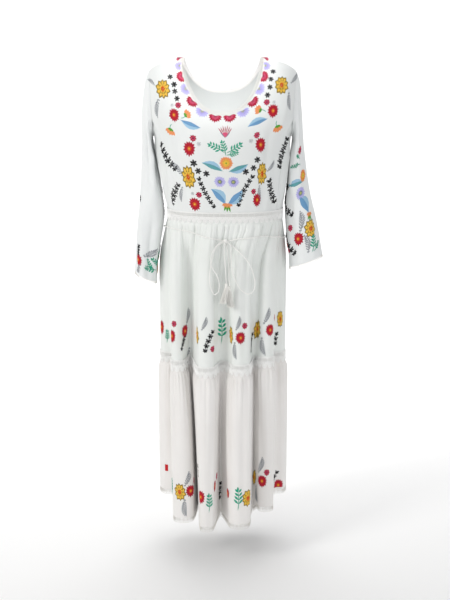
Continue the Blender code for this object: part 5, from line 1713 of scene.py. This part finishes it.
TIER_MOTIFS = (
    ("daisy", 0.027, 0.794, 0.041, 0.45, -1), ("small", 0.184, 0.713, 0.017, 0.8, -1),
    ("daisy", 0.173, 0.798, 0.037, 0.6, -1), ("sprig", 0.05, 0.9, 0.041, 0.8, -1),
    ("daisy", 0.253, 0.776, 0.036, 0.8, -1), ("vine", 0.261, 0.796, 0.052, 1, 149),
    ("grey_leaf", 0.261, 0.754, 0.038, 0.9, -13), ("grey_leaf", 0.299, 0.904, 0.041, 0.9, 169),
    ("dahlia", 0.396, 0.76, 0.057, 0.5, 5), ("grey_leaf", 0.419, 0.723, 0.031, 0.9, -20),
    ("vine", 0.459, 0.713, 0.074, 1, 157), ("sprig", 0.53, 0.848, 0.078, 0.9, 2),
    ("small", 0.455, 0.844, 0.017, 0.9, 0), ("dahlia", 0.6, 0.772, 0.057, 0.5, 0),
    ("grey_leaf", 0.627, 0.735, 0.031, 0.9, -15), ("grey_leaf", 0.625, 0.802, 0.037, 0.9, 185),
    ("small", 0.661, 0.703, 0.017, 0.9, 0), ("daisy", 0.645, 0.78, 0.034, 0.85, 0),
    ("vine", 0.741, 0.768, 0.063, 1, 162), ("dahlia", 0.787, 0.776, 0.058, 0.62, -1),
    ("grey_leaf", 0.819, 0.737, 0.037, 0.9, -19), ("grey_leaf", 0.816, 0.816, 0.04, 0.9, 191),
    ("daisy", 0.844, 0.774, 0.034, 0.75, 1), ("small", 0.875, 0.701, 0.017, 0.9, 1),
    ("dahlia", 0.955, 0.731, 0.053, 0.4, 1), ("vine", 0.944, 0.814, 0.044, 1, 173),
)
FLOUNCE_MOTIFS = (
    ("side_label", 0.048, 0.83, 0.021, 1, 0), ("sprig", 0.149, 0.868, 0.051, 0.9, -1),
    ("dahlia", 0.189, 0.822, 0.056, 0.62, 4), ("grey_leaf", 0.201, 0.788, 0.035, 0.9, -17),
    ("grey_leaf", 0.203, 0.862, 0.041, 0.9, 183), ("daisy", 0.217, 0.816, 0.035, 0.7, -2),
    ("small", 0.236, 0.762, 0.018, 0.8, -3), ("vine", 0.399, 0.583, 0.046, 1, 174),
    ("daisy", 0.411, 0.8, 0.038, 0.6, -1), ("sprig", 0.441, 0.904, 0.058, 0.9, 0),
    ("daisy", 0.476, 0.743, 0.032, 0.6, 0), ("small", 0.494, 0.699, 0.018, 0.8, 0),
    ("vine", 0.54, 0.778, 0.06, 1, 175), ("daisy", 0.599, 0.808, 0.029, 0.6, 1),
    ("sprig", 0.64, 0.906, 0.07, 0.9, 0), ("dahlia", 0.675, 0.83, 0.055, 0.68, -4),
    ("dahlia", 0.776, 0.798, 0.051, 0.5, 0), ("grey_leaf", 0.801, 0.768, 0.039, 0.9, -15),
    ("grey_leaf", 0.784, 0.856, 0.042, 0.9, 190), ("daisy", 0.818, 0.816, 0.036, 0.75, 0),
    ("small", 0.834, 0.754, 0.018, 0.8, 0), ("vine", 0.949, 0.852, 0.073, 1, 150),
    ("daisy", 0.949, 0.97, 0.037, 0.8, 0),
)


def neck_flowers():
    """Half flowers round the neck edge, crimson and lilac in turn, with their flat sides to it."""
    rows = []
    for side in (-1, 1):
        angles = np.linspace(0, math.pi / 2, 200)
        edge = torso_point(side, *neckline(side, angles))
        along = np.concatenate([[0], np.cumsum(np.linalg.norm(np.diff(edge, axis=0), axis=1))])
        count = round(along[-1] / NECK_FLOWER_PITCH)
        for k in range(count):
            angle = np.interp((k + 0.5) / count * along[-1], along, angles)
            for half in (-1, 1):
                turn, down = neckline(side, angle, -0.0015)
                share = (2 + side + half * -side * turn) / 2
                here = torso_at(share, down)
                further, lower = neckline(side, angle, -0.012)
                out = torso_point(side, half * further, lower) - here
                across = unit(torso_at(share + 0.002, down) - here)
                up = unit(torso_at(share, down - 0.002) - here)
                way = math.degrees(math.atan2(-(out @ across), out @ up))
                motif = "pale_half" if k % 2 else "half"
                rows.append((motif, float(share), float(down), NECK_FLOWER_SIZE, 1, way))
    return rows


def hidden(rows, mirror):
    """Like motifs on the side that the photograph does not show, which has no side label."""
    rows = [row for row in rows if row[0] != "side_label"]
    if mirror is None:
        return [(m, p + 1, q, s, w, t) for m, p, q, s, w, t in rows]
    return [(m, mirror - p, q, s, w, -t) for m, p, q, s, w, t in rows]


# The stage


def area_light(name, place, target, size, power, colour, spread=180.0):
    light = bpy.data.lights.new(name, "AREA")
    light.shape = "RECTANGLE"
    light.size, light.size_y = size
    light.energy = power
    light.color = colour
    light.spread = math.radians(spread)
    made = bpy.data.objects.new(name, light)
    made.location = place
    made.rotation_mode = "QUATERNION"
    made.rotation_quaternion = (Vector(target) - Vector(place)).to_track_quat("-Z", "Y")
    bpy.context.scene.collection.objects.link(made)


CAMERA_PLACE = (0.007, -3.0, 0.0)
CAMERA_TILT = 13.0
CAMERA_LENS = 1051.5 / 600 * 36
FLOOR_LEVEL = -1.47


def make_camera():
    camera = bpy.data.cameras.new("camera")
    camera.sensor_width = 36.0
    camera.lens = CAMERA_LENS
    camera.clip_start, camera.clip_end = 0.1, 60.0
    made = bpy.data.objects.new("camera", camera)
    made.location = CAMERA_PLACE
    made.rotation_euler = (math.radians(90 - CAMERA_TILT), 0.0, 0.0)
    bpy.context.scene.collection.objects.link(made)
    bpy.context.scene.camera = made


def make_floor():
    """A plain pale floor that curves up into a backdrop behind the dress."""
    profile = [(-14.0, 0.0), (6.0, 0.0)]
    profile += [
        (6.0 + 3.0 * math.sin(a), 3.0 - 3.0 * math.cos(a))
        for a in np.linspace(0.1, math.pi / 2, 14)
    ]
    profile.append((9.0, 9.0))
    points = [(x, y, FLOOR_LEVEL + z) for y, z in profile for x in (-14.0, 14.0)]
    faces = [(2 * k, 2 * k + 1, 2 * k + 3, 2 * k + 2) for k in range(len(profile) - 1)]
    mesh = bpy.data.meshes.new("floor")
    mesh.from_pydata(points, [], faces)
    material, _, shader = shader_of("painted_board", 0.9, 0.0)
    shader.inputs["Base Color"].default_value = (*bpy.context.scene.dress_colours.floor, 1.0)
    made = placed("floor", mesh, [material])
    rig.stage(made)


def make_light():
    world = bpy.data.worlds.new("studio")
    world.use_nodes = True
    background = world.node_tree.nodes["Background"]
    background.inputs["Color"].default_value = (1.0, 1.0, 1.0, 1.0)
    background.inputs["Strength"].default_value = 0.58
    bpy.context.scene.world = world
    scene = bpy.context.scene
    scene.view_settings.view_transform = "Standard"
    scene.view_settings.look = "None"
    scene.view_settings.exposure = 0.0
    scene.view_settings.gamma = 1.0
    area_light("key", (-2.6, -2.0, 0.9), (0, 0, -0.7), (0.9, 1.4), 45.0, (1.0, 0.99, 0.97))
    area_light("fill", (2.2, -2.6, -0.9), (0, 0, -1.0), (1.4, 1.0), 15.0, (0.97, 0.98, 1.0))
    area_light("overhead", (0.0, 1.0, 2.1), (0, 0.9, -1.4), (2.4, 1.4), 19.0, (1.0, 1.0, 1.0))
    area_light("neck", (0.0, -0.5, 0.42), (0, 0.1, -0.16), (0.1, 0.1), 0.24, (1.0, 1.0, 1.0), 34.0)
    area_light("backdrop", (0.0, 2.4, 2.8), (0, 7.0, -0.6), (4.0, 1.6), 300.0, (1.0, 1.0, 1.0))


# Settings


class DressSizes(bpy.types.PropertyGroup):
    """Sizes that a user would change."""

    cloth_thick: bpy.props.FloatProperty(
        name="Cloth thickness", description="Thickness of the crepe",
        default=0.0008, min=0.0003, unit="LENGTH",
    )
    lace_thread: bpy.props.FloatProperty(
        name="Lace thread", description="Radius of the threads in the deep lace bands",
        default=0.00062, min=0.0002, unit="LENGTH",
    )
    edging_thread: bpy.props.FloatProperty(
        name="Edging thread", description="Radius of the threads in the narrow edgings",
        default=0.0005, min=0.0002, unit="LENGTH",
    )
    lace_pitch: bpy.props.FloatProperty(
        name="Lace pitch", description="Width of one scallop of the deep lace bands",
        default=0.016, min=0.006, unit="LENGTH",
    )
    edging_pitch: bpy.props.FloatProperty(
        name="Edging pitch", description="Width of one repeat of the hem edging",
        default=0.0110, min=0.004, unit="LENGTH",
    )
    eyelet_pitch: bpy.props.FloatProperty(
        name="Eyelet pitch", description="Width of one eyelet of the neck and cuff edgings",
        default=0.0070, min=0.003, unit="LENGTH",
    )
    tassel_strands: bpy.props.IntProperty(
        name="Tassel strands", description="Strands in each tassel", default=150, min=20, max=400
    )


class DressColours(bpy.types.PropertyGroup):
    """Colours that a user would change."""

    floor: bpy.props.FloatVectorProperty(
        name="Floor", description="Colour of the floor", default=linear("#F6F6F6"), subtype="COLOR"
    )


def sizes():
    return bpy.context.scene.dress_sizes


# Operators, one for each piece or group of like pieces


class DRESS_OT_stage(bpy.types.Operator):
    """Make the floor, the lights and the camera"""

    bl_idname = "dress.stage"
    bl_label = "Stage"

    def execute(self, context):
        make_camera()
        make_floor()
        make_light()
        return {"FINISHED"}


def declared(piece, node, slot):
    """Says which of the solids a piece stands for, what it moves with and what it is made of."""
    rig.replaces(piece, node)
    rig.ride(piece, "root")
    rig.slot(piece, slot)


def declared_sheet(piece, node, flat, area, held, trims=()):
    """The facts of a panel of cloth. Trims are the laces that are sewn on it."""
    declared(piece, node, "crepe")
    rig.sheet(piece, flat=flat, held=held, rests_on=["root"], area=area, with_pieces=trims)


def wound_knot():
    """A ball with the slanting grooves of the cord that is wound into it."""
    half = KNOT_WIDE / 2
    angles = np.radians(np.linspace(72, -72, 15))
    profile = [(0, half), *((half * math.cos(a), half * math.sin(a)) for a in angles), (0, -half)]
    knot = turned_mesh("bow_knot_turns", profile, KNOT_PLACE, 24)
    across = points_of(knot) - np.array(KNOT_PLACE)
    slant = across[:, 0] / 0.0016 * math.pi + across[:, 2] / 0.004 * math.pi
    wound = 1 - KNOT_GROOVE * np.cos(slant) * np.exp(-((across[:, 2] / 0.005) ** 4))
    moved(knot, np.array(KNOT_PLACE) + across * np.minimum(wound, 1.0)[:, None])
    return knot


def declared_cord(piece, node, route, far_end, lay, trims):
    """The facts of one run of the cord, from the knot to its far end."""
    declared(piece, node, "cord")
    steps = np.linalg.norm(np.diff(np.array(route), axis=0), axis=1)
    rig.cord(
        piece,
        exit=route[0],
        length=float(steps.sum()),
        diameter=CORD_THICK,
        far_end=far_end,
        stiffness="limp",
        lay=lay,
        path=route,
        with_pieces=trims,
    )


class DRESS_OT_cord(bpy.types.Operator):
    """Make the cord round the waist, its bow and its knot"""

    bl_idname = "dress.cord"
    bl_label = "Cord and bow"

    def execute(self, context):
        material = cotton("twisted_cotton_cord", "#FFFFFD", "#EDECE8", 1400.0, 0.0004)
        tree = cord_tree()
        declared(placed("knot", wound_knot(), [material]), "bow_knot", "cord")
        for name, *facts in (
            ("belt", "belt_cord", BELT_ROUTE, "object", "taut", ["knot"]),
            ("right_loop", "bow_loop_right", RIGHT_LOOP_ROUTE, "object", "hanging", []),
            ("left_loop", "bow_loop_left", LEFT_LOOP_ROUTE, "object", "hanging", []),
            ("right_tail", "cord_tail_right", RIGHT_TAIL_ROUTE, "knot", "hanging", ["right_tassel"]),
            ("left_tail", "cord_tail_left", LEFT_TAIL_ROUTE, "knot", "hanging", ["left_tassel"]),
        ):
            mesh = from_tree(route_curve(facts[1]), tree, {"Material": material})
            mesh.materials.clear()
            declared_cord(placed(name, mesh, [material]), *facts)
        return {"FINISHED"}


class DRESS_OT_tassels(bpy.types.Operator):
    """Make the two tassels"""

    bl_idname = "dress.tassels"
    bl_label = "Tassels"

    def execute(self, context):
        material = cotton("tassel_floss", "#FFFFFC", "#E9E7E1", 900.0, 0.0003)
        tree = tassel_tree()
        high, wide = TASSEL_HEAD_HIGH, TASSEL_HEAD_WIDE / 2
        profile = [(0, 0.0), (0.55 * wide, -0.0004), (0.92 * wide, -0.18 * high)]
        profile += [(wide * (1 - 0.10 * (k % 2)), -high * (0.30 + 0.035 * k)) for k in range(10)]
        profile += [(0.86 * wide, -0.72 * high), (wide, -0.98 * high), (0, -high)]
        for name, node, end, long, lean, seed in (
            ("right_tassel", "tassel_right", RIGHT_TAIL_ROUTE[-1], 0.058, -0.010, 1),
            ("left_tassel", "tassel_left", LEFT_TAIL_ROUTE[-1], 0.0602, 0.004, 2),
        ):
            top = np.array(end) + (0, 0, -SEAM_GAP)
            head = turned_mesh("head", profile, top, 20)
            values = {
                "Strands": sizes().tassel_strands, "Root radius": 0.92 * wide,
                "Length": long - 0.8 * high, "Lean": lean, "Spread": 1.55, "Seed": seed,
                "Material": material,
            }
            seeds = bpy.data.meshes.new("seed")
            seeds.from_pydata([(0, 0, 0)], [], [])
            strands = from_tree(seeds, tree, values)
            moved(strands, points_of(strands) + top + (0, 0, -0.8 * high))
            declared(joined(name, [head, strands], [material]), node, "cord")
        return {"FINISHED"}


class DRESS_OT_bodice(bpy.types.Operator):
    """Make the front and the back of the bodice"""

    bl_idname = "dress.bodice"
    bl_label = "Bodice"

    def execute(self, context):
        material = crepe("viscose_crepe_bodice", "#ECEEED", "#E0E3E2")
        for name, side, trims in (("front", -1, ["neck_lace_threads"]), ("back", 1, [])):
            share, down = bodice_places(side)
            points = torso_at(share, down)
            points = points + grid_normals(points, False) * BODICE_CREASES(share, down)[..., None]
            points[..., 1] += side * SEAM_GAP
            normals = grid_normals(points, False)
            normals[:, [0, -1], 1] = 0
            normals[-1, :, 2] = 0
            wall = (points, unit(normals), sizes().cloth_thick, False, material)
            piece = cloth_wall(f"bodice_{name}_cloth", *wall)
            declared_sheet(piece, f"bodice_{name}", (0.52, 0.45), 0.180, "gathered", trims)
        return {"FINISHED"}


class DRESS_OT_sleeves(bpy.types.Operator):
    """Make the two sleeves"""

    bl_idname = "dress.sleeves"
    bl_label = "Sleeves"

    def execute(self, context):
        material = crepe("viscose_crepe_sleeves", "#F0F2F2", "#E4E7E7")
        turn = np.linspace(0, 1, SLEEVE_COLUMNS, endpoint=False)[None]
        share = (np.linspace(0, 1, SLEEVE_ROWS) ** 1.05)[:, None]
        for name, hand in (("right", -1), ("left", 1)):
            points = SLEEVES[name].at(turn, share)
            points[0, :, 0] += hand * 2 * SEAM_GAP
            wall = (points, grid_normals(points, True), sizes().cloth_thick, True, material)
            piece = cloth_wall(f"sleeve_{name}_cloth", *wall)
            trims = [f"cuff_lace_{name}_threads"]
            declared_sheet(piece, f"sleeve_{name}", (0.43, 0.60), 0.130, "hung", trims)
        return {"FINISHED"}


def skirt_panels(part, surface, columns, fall, flat, trims, material):
    """The front and the back of the tier or the flounce, parted by a hair at the side seams."""
    for name, side in (("front", -1), ("back", 1)):
        share = np.linspace(0, 1, columns // 2) + (0 if side < 0 else 1)
        points = surface.at(share[None], fall[:, None])
        points[:, [0, -1], 1] += side * SEAM_GAP
        wall = (points, grid_normals(points, False), sizes().cloth_thick, False, material)
        piece = cloth_wall(f"{part}_{name}_cloth", *wall)
        declared_sheet(piece, f"{part}_{name}", flat, None, "gathered", trims[name])


class DRESS_OT_tier(bpy.types.Operator):
    """Make the front and the back of the first skirt tier"""

    bl_idname = "dress.tier"
    bl_label = "First tier"

    def execute(self, context):
        material = crepe("viscose_crepe_tier", "#F0F2F0", "#E4E8E4")
        fall = [np.linspace(0, 0.16, 18), np.linspace(0.16, 0.9, 34)[1:], np.linspace(0.9, 1, 8)[1:]]
        trims = {"front": ["waist_lace_threads", "waist_lace_net"], "back": []}
        fall = np.concatenate(fall)
        skirt_panels("skirt", TIER, TIER_COLUMNS, fall, (0.70, 0.44), trims, material)
        return {"FINISHED"}


class DRESS_OT_flounce(bpy.types.Operator):
    """Make the front and the back of the flounce"""

    bl_idname = "dress.flounce"
    bl_label = "Flounce"

    def execute(self, context):
        material = crepe("viscose_crepe_flounce", "#F2F0EE", "#E8E5E2")
        fall = np.concatenate([np.linspace(0, 0.30, 24), np.linspace(0.30, 1, 30)[1:]])
        trims = {"front": ["tier_lace_threads", "tier_lace_net"], "back": ["hem_lace_threads"]}
        skirt_panels("flounce", FLOUNCE, FLOUNCE_COLUMNS, fall, (0.95, 0.46), trims, material)
        return {"FINISHED"}


class DRESS_OT_lace(bpy.types.Operator):
    """Make the lace bands and edgings"""

    bl_idname = "dress.lace"
    bl_label = "Lace"

    def execute(self, context):
        size = sizes()
        lace = cotton("crochet_cotton_lace", "#FFFFFE", "#F8F8F6", 1200.0, 0.0002)
        net = cotton("cotton_net", "#F4F4F2", "#E9E9E7", 1200.0, 0.0002)
        tree = lace_tree()
        edging = cotton("narrow_cotton_edging", "#ECEAE6", "#DAD7D1", 1200.0, 0.0002)
        waist_high = WAIST_LACE_ABOVE + WAIST_LACE_BELOW - LACE_MARGIN
        tier_high = TIER_LACE_ABOVE + TIER_LACE_BELOW - LACE_MARGIN
        deep = (scallop_repeat, size.lace_pitch, size.lace_thread, LACE_CLEAR + LACE_FRONT, lace)
        hem = (edging_repeat, size.edging_pitch, size.edging_thread, -EDGING_SUNK, edging)
        fine = (eyelet_repeat, size.eyelet_pitch, size.edging_thread, -EDGING_SUNK, edging)
        for node, band, high, (repeat, pitch, thread, out, material) in (
            ("waist_lace", waist_band(), waist_high, deep),
            ("tier_lace", tier_band(), tier_high, deep),
            ("hem_lace", hem_band(), HEM_LACE_HIGH, hem),
            ("neck_lace", neck_band(), NECK_LACE_WIDE, fine),
            ("cuff_lace_right", cuff_band(SLEEVES["right"]), CUFF_LACE_WIDE, fine),
            ("cuff_lace_left", cuff_band(SLEEVES["left"]), CUFF_LACE_WIDE, fine),
        ):
            made = (band, repeat, pitch, high, thread, out, tree, material)
            declared(lace_band(f"{node}_threads", *made), node, "lace")
            if repeat is scallop_repeat:
                ground = lace_ground(band, pitch, high, out - NET_BEHIND)
                declared(cloth_wall(f"{node}_net", *ground, NET_THICK, True, net), node, "lace")
        return {"FINISHED"}


class DRESS_OT_embroidery(bpy.types.Operator):
    """Make the embroidered flowers, leaves and vines"""

    bl_idname = "dress.embroidery"
    bl_label = "Embroidery"

    def execute(self, context):
        materials = {name: floss(name, code) for name, code in FLOSS.items()}
        left, right = LEFT_SLEEVE_MOTIFS, RIGHT_SLEEVE_MOTIFS
        bodice = [*neck_flowers(), *BODICE_MOTIFS, *hidden(BODICE_MOTIFS, 2)]
        flounce = [*FLOUNCE_MOTIFS, *hidden(FLOUNCE_MOTIFS, None)]
        for name, surface, motifs, lowest, highest in (
            ("bodice", BODICE, bodice, 0.0, 0.425),
            ("left_sleeve", SLEEVES["left"], [*left, *hidden(left, 1)], 0.01, 0.985),
            ("right_sleeve", SLEEVES["right"], [*right, *left], 0.01, 0.985),
            ("tier", TIER, [*TIER_MOTIFS, *hidden(TIER_MOTIFS, None)], 0.0, 0.955),
            ("flounce", FLOUNCE, flounce, 0.03, 0.985),
        ):
            piece = embroidered(f"{name}_embroidery", surface, motifs, lowest, highest, materials)
            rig.ride(piece, "root")
        return {"FINISHED"}


class DRESS_PT_panel(bpy.types.Panel):
    """Lists the dress's sizes, colours and pieces"""

    bl_idname = "DRESS_PT_panel"
    bl_label = "Embroidered maxi dress"
    bl_space_type = "VIEW_3D"
    bl_region_type = "UI"
    bl_category = "Dress"

    def draw(self, context):
        for group in (context.scene.dress_sizes, context.scene.dress_colours):
            box = self.layout.box()
            for name in group.bl_rna.properties.keys():
                if name not in ("rna_type", "name"):
                    box.prop(group, name)
        for operator in OPERATORS:
            self.layout.operator(operator.bl_idname)


OPERATORS = (
    DRESS_OT_stage,
    DRESS_OT_tassels,
    DRESS_OT_cord,
    DRESS_OT_lace,
    DRESS_OT_bodice,
    DRESS_OT_sleeves,
    DRESS_OT_tier,
    DRESS_OT_flounce,
    DRESS_OT_embroidery,
)


def register():
    for kind in (DressSizes, DressColours, *OPERATORS, DRESS_PT_panel):
        bpy.utils.register_class(kind)
    bpy.types.Scene.dress_sizes = bpy.props.PointerProperty(type=DressSizes)
    bpy.types.Scene.dress_colours = bpy.props.PointerProperty(type=DressColours)


def unregister():
    del bpy.types.Scene.dress_colours
    del bpy.types.Scene.dress_sizes
    for kind in reversed((DressSizes, DressColours, *OPERATORS, DRESS_PT_panel)):
        bpy.utils.unregister_class(kind)


def box_of():
    return [list(corner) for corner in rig.bounds()]


def main():
    cad_box = box_of()
    register()
    for operator in OPERATORS:
        group, name = operator.bl_idname.split(".")
        getattr(getattr(bpy.ops, group), name)()
    with open(SIZE_FILE, "w") as file:
        json.dump({"cad_box": cad_box, "visual_box": box_of()}, file)


if __name__ == "__main__":
    main()
